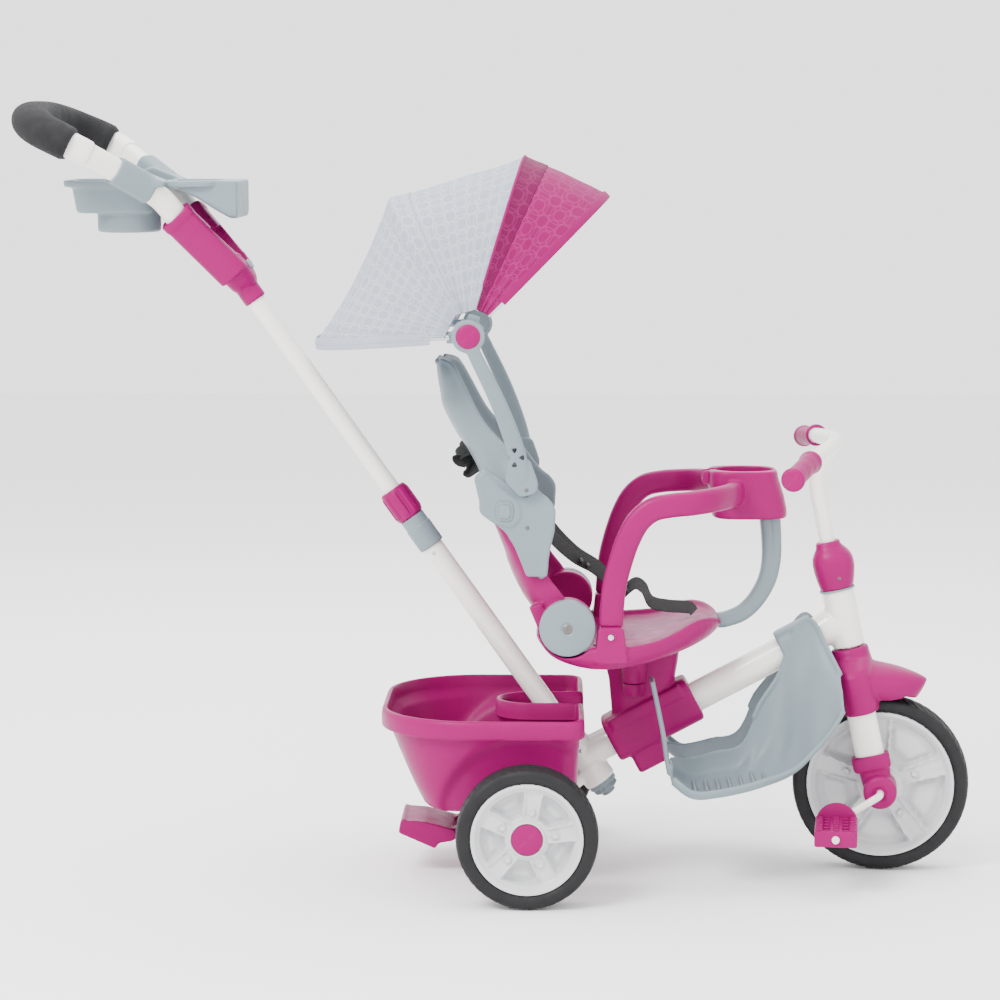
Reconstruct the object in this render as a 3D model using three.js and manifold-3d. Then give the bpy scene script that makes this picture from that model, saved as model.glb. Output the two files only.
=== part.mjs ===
// A children's push tricycle: three wheels, a reclining seat with a canopy, and a parent's push handle.
// Millimetres, +X forward, +Y to the rider's left, +Z up. The wheels stand on z = 0.

import * as THREE from 'three';
import { mergeVertices } from 'three/addons/utils/BufferGeometryUtils.js';
import Module from 'manifold-3d';

const wasm = await Module();
wasm.setup();

// ---------- driving dimensions ----------

const GAP = 0.4;                  // clearance between pieces that touch on the real object

const FINENESS = 0.66;            // scales every facet count
const SLACK = 0.2;                // flat areas are merged into larger facets within this distance

const FRONT_WHEEL_R = 109;
const REAR_WHEEL_R = 84.6;
const TYRE_WIDTH = 46;
const TYRE_DEPTH = 19;            // from tread to rim
const REAR_TRACK_HALF = 214;      // centre plane of each rear wheel
const REAR_HUB_HALF = 21;
const REAR_AXLE_X = 37.7;
const AXLE_ROD_R = 5;
const AXLE_TUBE_R = 9;

const JOINT_X = 105;              // where the main tube meets the push pole
const JOINT_Z = 141.2;
const MAIN_TUBE_R = 19;
const MAIN_TUBE_SLOPE = 27.9;     // degrees above horizontal
const TUBE_WALL = 2.2;

const HEAD_ANGLE = 12.2;          // degrees the steering axis leans back
const HEAD_R = 20;
const HEAD_BOTTOM_Z = 280.5;
const HEAD_TOP_Z = 352.7;
const STEERER_R = 12.5;
const STEER_REST = -6.5;          // the front end stands turned a little to the right
const AXLE_LEAD = 4;              // front axle ahead of the steering axis
const FORK_LEG_Y = 41;
const FORK_LEG_X = 18;            // half sizes of a fork leg's section
const FORK_LEG_W = 11.5;

const BAR_R = 10;
const BAR_Z = 527;
const BAR_HALF = 246;
const GRIP_LENGTH = 99;
const GRIP_R = 14.2;

const CRANK_R = 4.5;
const CRANK_LENGTH = 61.6;
const CRANK_ANGLE = 212.4;        // degrees, right crank, 0 is forward and 90 is up
const PEDAL_IN_Y = 94;
const PEDAL_OUT_Y = 178;
const PEDAL_LENGTH = 51;

const POLE_ANGLE = 35.5;          // degrees the push pole leans back
const POLE_REST = -3.6;            // the push handle stands turned with the front end
const LOWER_POLE_R = 13.5;
const UPPER_POLE_R = 11;
const SOCKET_R = 19.5;
const POLE_STATIONS = {           // distances up the pole from the tube joint
  socketEnd: -40, socketTop: 52, lowerEnd: -25, lowerTop: 366, sleeveBottom: 324, sleeveTop: 368,
  nutTop: 410, upperEnd: 250, bracketNeck: 697, bracketBody: 722, upperTop: 742,
};
const HANDLE_HALF = 118;          // half spacing of the handle's two arms at the foam grip
const FOAM_R = 24;
const FOAM_SHARE = 0.262;         // share of the handle's length at which the foam starts

const PIVOT_X = 85;               // recline pivot
const PIVOT_Z = 324;
const RECLINE = 27.2;             // degrees the backrest leans back at rest
const DISC_R = 33.5;
const SEAT_HALF = 166;
const BACK_HALF = 150;
const SHELL = 5;                  // wall of moulded shells

const HUB_X = -32;                // canopy pivot
const HUB_Z = 673;
const HUB_R = 19.6;
const BOW_R = 3;
const BOW_HALF = 181;
const FABRIC = 2.2;
const SEAM_LAP = 0.015;           // share of a panel left open where the two cloths meet
const BOWS = {                    // each bow's crown, as seen from the side
  rear: [-216, 660], mid: [-128, 830], seam: [30, 879], visor: [128, 835],
};

const RING_HALF = SEAT_HALF - 16;
const RING_SECTION = [14.6, 10];  // half sizes of the arm's oval section
const CUP_X = 303;
const CUP_R = 36;
const CUP_TOP_Z = 502;
const CUP_FLOOR_Z = 446;

const BUCKET_FLOOR_Z = REAR_WHEEL_R + 9.9;   // clears the rear axle
const BUCKET_RIM_Z = BUCKET_FLOOR_Z + 119.5;
const BUCKET_HALF = 176;
const BUCKET_REAR_X = -143;
const BUCKET_FRONT_X = 106;
const BUCKET_WALL = 3.6;
const NOTCH_HALF = 40;

const COLOURS = {
  pink: 0xcb3e8e, grey: 0xaab9c0, white: 0xf3f1ec, rim: 0xe2e2e4, tyre: 0x2c2c2e,
  foam: 0x424246, strap: 0x1d1d1f, cloth: 0xd0d4db, steel: 0xb9bcc0,
};

// ---------- shapes ----------

const V = (x, y, z) => new THREE.Vector3(x, y, z);
const Y_AXIS = V(0, 1, 0);
const Z_AXIS = V(0, 0, 1);
const facets = (count) => 4 * Math.max(2, Math.round(count * FINENESS / 4));
const sin = (deg) => Math.sin(THREE.MathUtils.degToRad(deg));
const cos = (deg) => Math.cos(THREE.MathUtils.degToRad(deg));
const SIDES = [['r', -1], ['l', 1]];

/** An indexed, position-only copy with merged corners, no collapsed faces, and faces turned outwards. */
function tidy(geometry) {
  const plain = geometry.index ? geometry.clone() : geometry;
  for (const name of Object.keys(plain.attributes)) {
    if (name !== 'position') plain.deleteAttribute(name);
  }
  const merged = mergeVertices(plain, 1e-4);
  const index = merged.index.array;
  const faces = [];
  for (let i = 0; i < index.length; i += 3) {
    const [a, b, c] = [index[i], index[i + 1], index[i + 2]];
    if (a !== b && b !== c && c !== a) faces.push(a, b, c);
  }
  if (signedVolume(merged.attributes.position, faces) < 0) faces.reverse();
  merged.setIndex(faces);
  return merged;
}

function signedVolume(position, faces) {
  const [a, b, c] = [V(0, 0, 0), V(0, 0, 0), V(0, 0, 0)];
  let sum = 0;
  for (let i = 0; i < faces.length; i += 3) {
    a.fromBufferAttribute(position, faces[i]);
    b.fromBufferAttribute(position, faces[i + 1]);
    c.fromBufferAttribute(position, faces[i + 2]);
    sum += a.dot(b.cross(c));
  }
  return sum;
}

function toSolid(geometry) {
  const clean = tidy(geometry);
  return new wasm.Manifold(new wasm.Mesh({
    numProp: 3,
    vertProperties: new Float32Array(clean.attributes.position.array),
    triVerts: new Uint32Array(clean.index.array),
  }));
}

function fromSolid(solid) {
  const mesh = solid.getMesh();
  const geometry = new THREE.BufferGeometry();
  geometry.setAttribute('position', new THREE.BufferAttribute(new Float32Array(mesh.vertProperties), 3));
  geometry.setIndex([...mesh.triVerts]);
  return geometry;
}

const combine = (method) => (first, ...others) => {
  let solid = toSolid(first);
  for (const other of others) solid = solid[method](toSolid(other));
  return fromSolid(solid);
};
const join = combine('add');
const cut = combine('subtract');
const common = combine('intersect');

const moved = (geometry, x, y, z) => geometry.clone().translate(x, y, z);

const block = (x0, x1, y0, y1, z0, z1) =>
  new THREE.BoxGeometry(x1 - x0, y1 - y0, z1 - z0).translate((x0 + x1) / 2, (y0 + y1) / 2, (z0 + z1) / 2);

/** Lays a shape made along +Y from the origin so that it starts at `from` and runs along `direction`. */
function along(geometry, from, direction) {
  const turn = new THREE.Quaternion().setFromUnitVectors(Y_AXIS, direction.clone().normalize());
  return geometry.applyQuaternion(turn).translate(from.x, from.y, from.z);
}

function rod(a, b, radius, sides = 24) {
  const length = a.distanceTo(b);
  const shape = new THREE.CylinderGeometry(radius, radius, length, facets(sides)).translate(0, length / 2, 0);
  return along(shape, a, b.clone().sub(a));
}

function pipe(a, b, outer, inner, sides = 24) {
  const past = b.clone().sub(a).setLength(1);
  return cut(rod(a, b, outer, sides), rod(a.clone().sub(past), b.clone().add(past), inner, sides));
}

/** A turned shape: `profile` lists [radius, height] and closes on the axis or on itself. */
function lathe(profile, from, direction, sides = 32) {
  const points = profile.map(([r, h]) => new THREE.Vector2(r, h));
  return along(new THREE.LatheGeometry(points, facets(sides)), from, direction);
}

/** A closed skin over rings of equal count, with a fan over each end ring. */
function loft(rings) {
  const count = rings[0].length;
  const points = rings.flat();
  const faces = [];
  for (let i = 0; i + 1 < rings.length; i += 1) {
    for (let j = 0; j < count; j += 1) {
      const a = i * count + j;
      const b = i * count + (j + 1) % count;
      faces.push(a, b, a + count, b, b + count, a + count);
    }
  }
  for (const [ring, base, flip] of [[rings[0], 0, true], [rings.at(-1), points.length - count, false]]) {
    const centre = ring.reduce((sum, p) => sum.add(p), V(0, 0, 0)).divideScalar(count);
    const hub = points.push(centre) - 1;
    for (let j = 0; j < count; j += 1) {
      const next = base + (j + 1) % count;
      faces.push(...(flip ? [hub, next, base + j] : [hub, base + j, next]));
    }
  }
  return new THREE.BufferGeometry().setFromPoints(points).setIndex(faces);
}

/** A superellipse ring in the plane of `across` and `up`, about `centre`. */
function ovalRing(centre, across, up, a, b, power = 2, count = 16) {
  const n = facets(count);
  return Array.from({ length: n }, (_, i) => {
    const t = (i / n) * 2 * Math.PI;
    const c = Math.sign(Math.cos(t)) * Math.abs(Math.cos(t)) ** (2 / power);
    const s = Math.sign(Math.sin(t)) * Math.abs(Math.sin(t)) ** (2 / power);
    return centre.clone().addScaledVector(across, a * c).addScaledVector(up, b * s);
  });
}

/** A bar along a smooth curve; `size(t)` gives its half sizes, the first one square to `side`. */
function sweep(points, size, side = Y_AXIS, steps = 24, power = 2, count = 12) {
  const curve = new THREE.CatmullRomCurve3(points);
  const n = Math.ceil(steps * FINENESS);
  const rings = Array.from({ length: n + 1 }, (_, i) => {
    const t = i / n;
    const tangent = curve.getTangentAt(t);
    const up = tangent.clone().cross(side).normalize();
    const across = up.clone().cross(tangent).normalize();
    const [a, b] = size(t);
    return ovalRing(curve.getPointAt(t), up, across, a, b, power, count);
  });
  return loft(rings);
}

/** A wall of even thickness on a grid of points, thickened to the side its normals point to. */
function sheet(grid, thickness) {
  const rows = grid.length;
  const cols = grid[0].length;
  const at = (i, j) => grid[Math.min(Math.max(i, 0), rows - 1)][Math.min(Math.max(j, 0), cols - 1)];
  const front = grid.flat();
  const back = front.map((point, k) => {
    const [i, j] = [Math.floor(k / cols), k % cols];
    const along1 = at(i + 1, j).clone().sub(at(i - 1, j));
    const along2 = at(i, j + 1).clone().sub(at(i, j - 1));
    return point.clone().addScaledVector(along1.cross(along2).normalize(), thickness);
  });
  const total = rows * cols;
  const faces = [];
  const quad = (a, b, c, d) => faces.push(a, b, c, a, c, d);
  for (let i = 0; i + 1 < rows; i += 1) {
    for (let j = 0; j + 1 < cols; j += 1) {
      const k = i * cols + j;
      quad(k, k + 1, k + cols + 1, k + cols);
      quad(total + k, total + k + cols, total + k + cols + 1, total + k + 1);
    }
  }
  const rim = [];
  for (let j = 0; j < cols - 1; j += 1) rim.push(j);
  for (let i = 0; i < rows - 1; i += 1) rim.push(i * cols + cols - 1);
  for (let j = cols - 1; j > 0; j -= 1) rim.push((rows - 1) * cols + j);
  for (let i = rows - 1; i > 0; i -= 1) rim.push(i * cols);
  rim.forEach((k, n) => {
    const next = rim[(n + 1) % rim.length];
    quad(next, k, total + k, total + next);
  });
  return new THREE.BufferGeometry().setFromPoints([...front, ...back]).setIndex(faces);
}

/** Smooth value at x through [x, value] pairs, held beyond the ends. */
function through(pairs, x) {
  if (x <= pairs[0][0]) return pairs[0][1];
  const last = pairs.at(-1);
  if (x >= last[0]) return last[1];
  const i = pairs.findIndex(([key]) => key > x);
  const [[x0, y0], [x1, y1]] = [pairs[i - 1], pairs[i]];
  const before = pairs[i - 2] ?? pairs[i - 1];
  const after = pairs[i + 1] ?? pairs[i];
  const m0 = (y1 - before[1]) / (x1 - before[0]);
  const m1 = (after[1] - y0) / (after[0] - x0);
  const [h, t] = [x1 - x0, (x - x0) / (x1 - x0)];
  return y0 * (2 * t ** 3 - 3 * t ** 2 + 1) + m0 * h * (t ** 3 - 2 * t ** 2 + t)
    + y1 * (3 * t ** 2 - 2 * t ** 3) + m1 * h * (t ** 3 - t ** 2);
}

const spread = (count, from, to) =>
  Array.from({ length: count }, (_, i) => from + (i / (count - 1)) * (to - from));

function piece(name, colour, geometry) {
  const shiny = colour === 'steel' ? 0.9 : 0;
  const material = new THREE.MeshStandardMaterial({
    color: COLOURS[colour], roughness: 0.45, metalness: shiny,
  });
  const mesh = new THREE.Mesh(fromSolid(toSolid(geometry).simplify(SLACK)), material);
  mesh.name = name;
  return mesh;
}

/** A group turned by `degrees` about `axis` through `point`; its pieces stay in the object's own frame. */
function turnedGroup(point, axis, degrees, pieces) {
  const inner = new THREE.Group();
  inner.position.copy(point).negate();
  inner.add(...pieces);
  const outer = new THREE.Group();
  outer.position.copy(point);
  outer.quaternion.setFromAxisAngle(axis, THREE.MathUtils.degToRad(degrees));
  outer.add(inner);
  return outer;
}

// ---------- axes of the frame ----------

const JOINT = V(JOINT_X, 0, JOINT_Z);
const TUBE_DIR = V(cos(MAIN_TUBE_SLOPE), 0, sin(MAIN_TUBE_SLOPE));
const TUBE_UP = V(-sin(MAIN_TUBE_SLOPE), 0, cos(MAIN_TUBE_SLOPE));
const STEER_DIR = V(-sin(HEAD_ANGLE), 0, cos(HEAD_ANGLE));
const STEER_ACROSS = V(cos(HEAD_ANGLE), 0, sin(HEAD_ANGLE));
const POLE_DIR = V(-sin(POLE_ANGLE), 0, cos(POLE_ANGLE));
const POLE_ACROSS = V(cos(POLE_ANGLE), 0, sin(POLE_ANGLE));
const STEER_FOOT = V(435.7, 0, HEAD_BOTTOM_Z);   // lower end of the head tube, on the steering axis

/** From `start`, `a` along `one`, `b` along `two`, and `y` sideways. */
const reach = (start, one, a, two, b, y) =>
  start.clone().addScaledVector(one, a).addScaledVector(two, b).add(V(0, y, 0));
const onTube = (t, up = 0, y = 0) => reach(JOINT, TUBE_DIR, t, TUBE_UP, up, y);
const onPole = (s, across = 0, y = 0) => reach(JOINT, POLE_DIR, s, POLE_ACROSS, across, y);

/** A point at height z on the steering axis, moved `across` it and sideways. */
function onSteer(z, across = 0, y = 0) {
  return reach(STEER_FOOT, STEER_DIR, (z - STEER_FOOT.z) / STEER_DIR.z, STEER_ACROSS, across, y);
}

// ---------- wheels ----------

/** Tyre outline as [radius, height] along the axle, with a rounded shoulder and a crowned tread. */
function tyreProfile(radius) {
  const [h, inner] = [TYRE_WIDTH / 2, radius - TYRE_DEPTH];
  return [
    [inner, -h + 7], [inner + 7, -h], [radius - 8, -h], [radius - 2, -h + 6], [radius, 0],
    [radius - 2, h - 6], [radius - 8, h], [inner + 7, h], [inner, h - 7], [inner, -h + 7],
  ];
}

/** A dished disc wheel: the rim carries the tyre, the hub runs on the axle. */
function rimProfile(radius, hubR, hubHalf, bore) {
  const [r, h] = [radius - TYRE_DEPTH - GAP, TYRE_WIDTH / 2];
  return [
    [bore, -hubHalf], [hubR, -hubHalf], [hubR + 3, -9], [r - 11, -9], [r - 8, -h + 4], [r - 2, -h + 4],
    [r, -h + 8], [r, h - 8], [r - 2, h - 4], [r - 8, h - 4], [r - 11, 9],
    [hubR + 3, 9], [hubR, hubHalf], [bore, hubHalf], [bore, -hubHalf],
  ];
}

const frontTyreAt = (centre) => lathe(tyreProfile(FRONT_WHEEL_R), centre, Y_AXIS);

/** Height of the front axle so that the wheel, turned at rest, just touches the ground. */
function frontAxleHeight() {
  const trial = onSteer(FRONT_WHEEL_R, AXLE_LEAD);
  const turn = new THREE.Quaternion().setFromAxisAngle(STEER_DIR, THREE.MathUtils.degToRad(STEER_REST));
  const tyre = frontTyreAt(trial).translate(-STEER_FOOT.x, 0, -STEER_FOOT.z).applyQuaternion(turn);
  tyre.computeBoundingBox();
  return FRONT_WHEEL_R - (tyre.boundingBox.min.z + STEER_FOOT.z);
}

const FRONT_AXLE = onSteer(frontAxleHeight(), AXLE_LEAD);
const REAR_AXLE = V(REAR_AXLE_X, 0, REAR_WHEEL_R);

function rearWheel(tag, side) {
  const centre = REAR_AXLE.clone().setY(side * REAR_TRACK_HALF);
  const capBase = centre.clone().add(V(0, side * (REAR_HUB_HALF + GAP), 0));
  const cap = [[0, 0], [19, 0], [18, 4.2], [12, 6], [0, 6]];
  const rim = rimProfile(REAR_WHEEL_R, 21, REAR_HUB_HALF, AXLE_ROD_R + GAP);
  return [
    piece(`rear_rim_${tag}`, 'rim', lathe(rim, centre, Y_AXIS)),
    piece(`rear_tyre_${tag}`, 'tyre', lathe(tyreProfile(REAR_WHEEL_R), centre, Y_AXIS)),
    piece(`rear_cap_${tag}`, 'pink', lathe(cap, capBase, V(0, side, 0), 28)),
  ];
}

// ---------- frame ----------

const HEAD_END = { bottom: onSteer(HEAD_BOTTOM_Z), top: onSteer(HEAD_TOP_Z) };

function mainTube() {
  const toFoot = STEER_FOOT.clone().sub(JOINT);
  const toAxis = toFoot.dot(STEER_ACROSS) / TUBE_DIR.dot(STEER_ACROSS);
  return cut(
    pipe(JOINT, onTube(toAxis), MAIN_TUBE_R, MAIN_TUBE_R - TUBE_WALL, 32),
    rod(onPole(POLE_STATIONS.socketEnd - 10), onPole(POLE_STATIONS.socketTop + 30), SOCKET_R + GAP, 32),
    rod(onSteer(HEAD_BOTTOM_Z - 20), onSteer(HEAD_TOP_Z + 20), HEAD_R + GAP, 32),
  );
}

function headTube() {
  return pipe(HEAD_END.bottom, HEAD_END.top, HEAD_R, STEERER_R + GAP, 32);
}

/** The pole's socket, the axle tube, and the arm that joins them. */
function rearFrame() {
  const axleHalf = REAR_TRACK_HALF - REAR_HUB_HALF - 1;
  const onAxle = (y) => REAR_AXLE.clone().setY(y);
  const socket = rod(onPole(POLE_STATIONS.socketEnd), onPole(POLE_STATIONS.socketTop), SOCKET_R, 32);
  const { socketEnd, socketTop } = POLE_STATIONS;
  const bore = rod(onPole(socketEnd - 1), onPole(socketTop + 1), LOWER_POLE_R + GAP, 32);
  const arm = sweep(
    [onPole(-22), V(86, 0, 98), V(60, 0, 87), REAR_AXLE],
    () => [8, 15], Y_AXIS, 8, 4,
  );
  const tube = rod(onAxle(-axleHalf), onAxle(axleHalf), AXLE_TUBE_R, 24);
  const axleBore = rod(onAxle(-axleHalf - 1), onAxle(axleHalf + 1), AXLE_ROD_R + GAP, 20);
  return cut(join(socket, arm, tube), bore, axleBore);
}

function socketCap() {
  const profile = [[0, 0], [12.6, 0], [12.6, 14], [18.8, 14], [18.8, 19], [12, 26], [0, 26]];
  const top = onPole(POLE_STATIONS.socketEnd + 14 - GAP);
  return lathe(profile, top, POLE_DIR.clone().negate(), 28);
}

function rearAxle() {
  const half = REAR_TRACK_HALF + 20;
  return rod(V(REAR_AXLE.x, -half, REAR_AXLE.z), V(REAR_AXLE.x, half, REAR_AXLE.z), AXLE_ROD_R, 20);
}

// ---------- bucket ----------

/** Plan outline of the bucket: a wide round rear end and tight front corners, drawn in by `inset`. */
function bucketRing(z, rearX, frontX, half, inset) {
  const rearR = Math.min(half, 120);
  const frontR = 26;
  const [x0, x1, w] = [rearX + inset, frontX - inset, half - inset];
  const corner = (cx, cy, r, from, to, count) => spread(count, from, to).map((a) =>
    V(cx + r * cos(a), cy + r * sin(a), z));
  return [
    ...corner(x1 - frontR, w - frontR, frontR, 0, 90, 3),
    ...corner(x0 + rearR, w - rearR, rearR, 90, 180, 6),
    ...corner(x0 + rearR, -w + rearR, rearR, 180, 270, 6),
    ...corner(x1 - frontR, -w + frontR, frontR, 270, 360, 3),
  ];
}

function notch(half, z0, z1) {
  const shape = new THREE.Shape();
  const centreX = 2 + NOTCH_HALF;
  shape.moveTo(BUCKET_FRONT_X + 20, -half);
  shape.lineTo(centreX, -half);
  shape.absarc(centreX, 0, half, -Math.PI / 2, Math.PI / 2, true);
  shape.lineTo(BUCKET_FRONT_X + 20, half);
  const options = { depth: z1 - z0, bevelEnabled: false, curveSegments: 8 };
  return new THREE.ExtrudeGeometry(shape, options).translate(0, 0, z0);
}

function bucket() {
  const bandZ = BUCKET_RIM_Z - 21;
  const level = (z, inset) => {
    const t = (z - BUCKET_FLOOR_Z) / (bandZ - BUCKET_FLOOR_Z);
    const rear = THREE.MathUtils.lerp(-86, BUCKET_REAR_X + 9, t ** 0.85);
    const front = THREE.MathUtils.lerp(95, BUCKET_FRONT_X - 6, t);
    const half = THREE.MathUtils.lerp(140, BUCKET_HALF - 6, t);
    return bucketRing(z, rear, front, half, inset);
  };
  const heights = [BUCKET_FLOOR_Z, BUCKET_FLOOR_Z + 8, 130, 160, bandZ];
  const insets = [8, 0, 0, 0, 0];
  const body = loft([...heights.map((z, i) => level(z, insets[i])), level(BUCKET_RIM_Z, 0)]);
  const rimRing = (z) => bucketRing(z, BUCKET_REAR_X, BUCKET_FRONT_X, BUCKET_HALF, 0);
  const band = loft([rimRing(bandZ), rimRing(BUCKET_RIM_Z)]);
  const floor = BUCKET_FLOOR_Z + BUCKET_WALL;
  const hollow = loft([floor, floor + 8, 130, 160, bandZ, BUCKET_RIM_Z + 6]
    .map((z, i) => level(z, BUCKET_WALL + (i === 0 ? 8 : 0))));
  const outer = join(body, band);
  const wall = common(notch(NOTCH_HALF, BUCKET_FLOOR_Z, BUCKET_RIM_Z), outer);
  return cut(join(cut(outer, hollow), wall), notch(NOTCH_HALF - BUCKET_WALL, 60, BUCKET_RIM_Z + 10));
}

// ---------- foot rest ----------

/** Each station down one side: x, then the section's top, turn and outer points as [y, z]. */
const FOOT_STATIONS = [
  [212, [-52, 150], [-56, 143], [-64, 138], [-100, 136], [-144, 136], [-150, 142]],
  [236, [-48, 148], [-50, 134], [-58, 124], [-100, 119], [-146, 119], [-150, 124]],
  [268, [-46, 156], [-48, 140], [-57, 128], [-100, 121], [-146, 121], [-150, 126]],
  [300, [-44, 165], [-47, 148], [-57, 135], [-98, 127], [-142, 127], [-147, 132]],
  [322, [-38, 212], [-47, 166], [-60, 144], [-98, 133], [-138, 133], [-143, 138]],
  [347, [-27, 249], [-42, 200], [-64, 158], [-94, 142], [-122, 139], [-128, 143]],
  [366, [-23, 300], [-40, 238], [-66, 184], [-90, 156], [-109, 148], [-115, 151]],
  [386, [-23, 318], [-42, 262], [-70, 212], [-90, 182], [-103, 168], [-109, 170]],
  [404, [-40, 286], [-54, 262], [-76, 228], [-90, 204], [-99, 190], [-104, 190]],
  [420, [-66, 254], [-74, 246], [-84, 236], [-92, 226], [-98, 218], [-102, 216]],
];

function footScoop(side) {
  const path = ([x, ...section]) => new THREE.CatmullRomCurve3(section.map(([y, z]) => V(x, -side * y, z)));
  const grid = FOOT_STATIONS.map((station) => path(station).getSpacedPoints(8));
  return sheet(side < 0 ? grid : grid.map((row) => row.reverse()), 3.4);
}

function footRest() {
  const saddle = common(
    loft([onTube(278, 0), onTube(330, 0)].map((p) => ovalRing(p, Y_AXIS, TUBE_UP, 27, 27, 3, 24))),
    block(340, 400, -60, 60, 250, 340),
  );
  const clearances = [
    rod(onTube(200), onTube(400), MAIN_TUBE_R + GAP, 32),
    rod(onSteer(HEAD_BOTTOM_Z - 60), onSteer(HEAD_TOP_Z), HEAD_R + 6, 32),
    block(330, 420, -14, 14, 200, 296),
  ];
  const guards = SIDES.map(([, side]) => block(207, 212.5, side * 85 - 23, side * 85 + 23, 137, 150));
  const straps = SIDES.map(([, side]) => sweep(
    [V(212, side * 85, 138), V(203, side * 85, 180), V(188, side * 85, 252)],
    () => [3, 22], Y_AXIS, 6, 4, 8,
  ));
  return cut(join(footScoop(-1), footScoop(1), saddle, ...guards, ...straps), ...clearances);
}

// ---------- front end, in its straight-ahead place ----------

const CROWN_Z = 250;
const LEG_END_Z = 132;

function fork() {
  const steerer = rod(onSteer(CROWN_Z), onSteer(HEAD_TOP_Z + 30), STEERER_R, 24);
  const bridge = forkBridge(0);
  const sizes = [[CROWN_Z + 6, FORK_LEG_X], [150, FORK_LEG_X], [LEG_END_Z, FORK_LEG_X - 3]];
  const legs = SIDES.map(([, side]) => loft(sizes.map(([z, a]) =>
    ovalRing(onSteer(z, 0, side * FORK_LEG_Y), STEER_ACROSS, Y_AXIS, a, FORK_LEG_W, 3))));
  return join(steerer, bridge, ...legs);
}

function forkBridge(grow) {
  const end = FORK_LEG_Y + FORK_LEG_W - 2 + grow;
  return loft([-end, end].map((y) =>
    ovalRing(onSteer(CROWN_Z, 0, y), STEER_ACROSS, STEER_DIR, 15 + grow, 9 + grow, 4)));
}

function legClearance(side) {
  return loft([CROWN_Z + 12, 120].map((z) =>
    ovalRing(onSteer(z, 0, side * FORK_LEG_Y), STEER_ACROSS, Y_AXIS, FORK_LEG_X + GAP, FORK_LEG_W + GAP, 3)));
}

function fender() {
  const crown = loft([
    [HEAD_BOTTOM_Z - 1.5, 22, 22, 2], [HEAD_BOTTOM_Z - 14, 24, 25, 2], [HEAD_BOTTOM_Z - 28, 24, 50, 2.6],
    [240, 24, 57, 3], [216, 25, 58, 3], [204, 24.5, 58, 3],
  ].map(([z, a, b, power]) => ovalRing(onSteer(z, 0), STEER_ACROSS, Y_AXIS, a, b, power, 20)));
  const visor = new THREE.SphereGeometry(1, 18, 10).scale(68, 41, 28).rotateY(0.12).translate(466, 0, 236);
  const [reach, half] = [FRONT_WHEEL_R + 8, TYRE_WIDTH / 2 + 5];
  const inside = loft([CROWN_Z + 12, 190].map((z) =>
    ovalRing(onSteer(z, 0), STEER_ACROSS, Y_AXIS, 20.5, 54, 3, 20)));
  return cut(
    join(crown, visor),
    rod(FRONT_AXLE.clone().setY(-half), FRONT_AXLE.clone().setY(half), reach, 32),
    inside,
    legClearance(-1),
    legClearance(1),
    forkBridge(GAP),
    rod(onSteer(CROWN_Z), onSteer(HEAD_TOP_Z), STEERER_R + GAP, 24),
  );
}

function forkEnd(side) {
  const collar = loft([[LEG_END_Z - 3, 22], [LEG_END_Z, 23.5], [152, 23.5]].map(([z, a]) =>
    ovalRing(onSteer(z, 0, side * FORK_LEG_Y), STEER_ACROSS, Y_AXIS, a, 15, 4)));
  const blade = loft([[FRONT_AXLE.z - 4, 17], [LEG_END_Z + 4, 19.5]].map(([z, a]) =>
    ovalRing(onSteer(z, AXLE_LEAD / 2, side * (FORK_LEG_Y + 2)), STEER_ACROSS, Y_AXIS, a, 13, 3)));
  const boss = rod(FRONT_AXLE.clone().setY(side * 29), FRONT_AXLE.clone().setY(side * 72), 20.5, 32);
  const bore = rod(FRONT_AXLE.clone().setY(side * 20), FRONT_AXLE.clone().setY(side * 80), CRANK_R + GAP, 16);
  return cut(join(collar, blade, boss), bore, legClearance(side));
}

/** The cross part of the handlebar, grown all round by `grow`. */
function crossBar(grow) {
  const line = [
    [-14, -1, -8], [-3, -0.8, -4], [7.6, -0.6, -1], [22, -0.34, 0], [31, -0.14, 1], [33.5, 0, 1],
  ];
  const half = line.map(([across, share, up]) => onSteer(BAR_Z + up, across, share * (BAR_HALF + grow)));
  const whole = [...half, ...half.slice(0, -1).reverse().map((p) => V(p.x, -p.y, p.z))];
  return sweep(whole, () => [BAR_R + grow, BAR_R + grow], Z_AXIS, 32, 2, 12);
}

function handlebar() {
  const stem = sweep([
    onSteer(HEAD_TOP_Z + 30 + GAP), onSteer(445), onSteer(483, 2), onSteer(506, 12), onSteer(BAR_Z + 1, 33.5),
  ], () => [BAR_R, BAR_R], Y_AXIS, 12, 2, 12);
  return join(crossBar(0), stem);
}

function neckCover() {
  const body = loft([
    [HEAD_TOP_Z + 1, 17.5, 19, 0], [HEAD_TOP_Z + 5, 20, 21, 0.5], [372, 24.5, 25, 1.5], [386, 25, 25.5, 1.5],
    [398, 21.5, 22, 1], [405, 16, 16.5, 0], [410, 14.5, 14.5, 0],
  ].map(([z, a, b, lead]) => ovalRing(onSteer(z, lead), STEER_ACROSS, Y_AXIS, a, b, 2.6, 24)));
  return cut(
    body,
    rod(onSteer(HEAD_TOP_Z - 5), onSteer(HEAD_TOP_Z + 30 + GAP), STEERER_R + GAP, 24),
    rod(onSteer(HEAD_TOP_Z + 29), onSteer(425), BAR_R + GAP, 24),
  );
}

function grip(side) {
  const outer = onSteer(BAR_Z - 8, -14, side * (BAR_HALF + 4));
  const inward = onSteer(BAR_Z - 1, 7.6, side * 0.6 * BAR_HALF).sub(onSteer(BAR_Z - 8, -14, side * BAR_HALF));
  const r = GRIP_R;
  const L = GRIP_LENGTH;
  const profile = [
    [0, 0], [r - 2, 0], [r, 2], [r, 6], [r - 2, 12], [r - 2, L - 12], [r, L - 4], [r, L], [0, L],
  ];
  return cut(lathe(profile, outer, inward, 20), crossBar(GAP));
}

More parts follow.
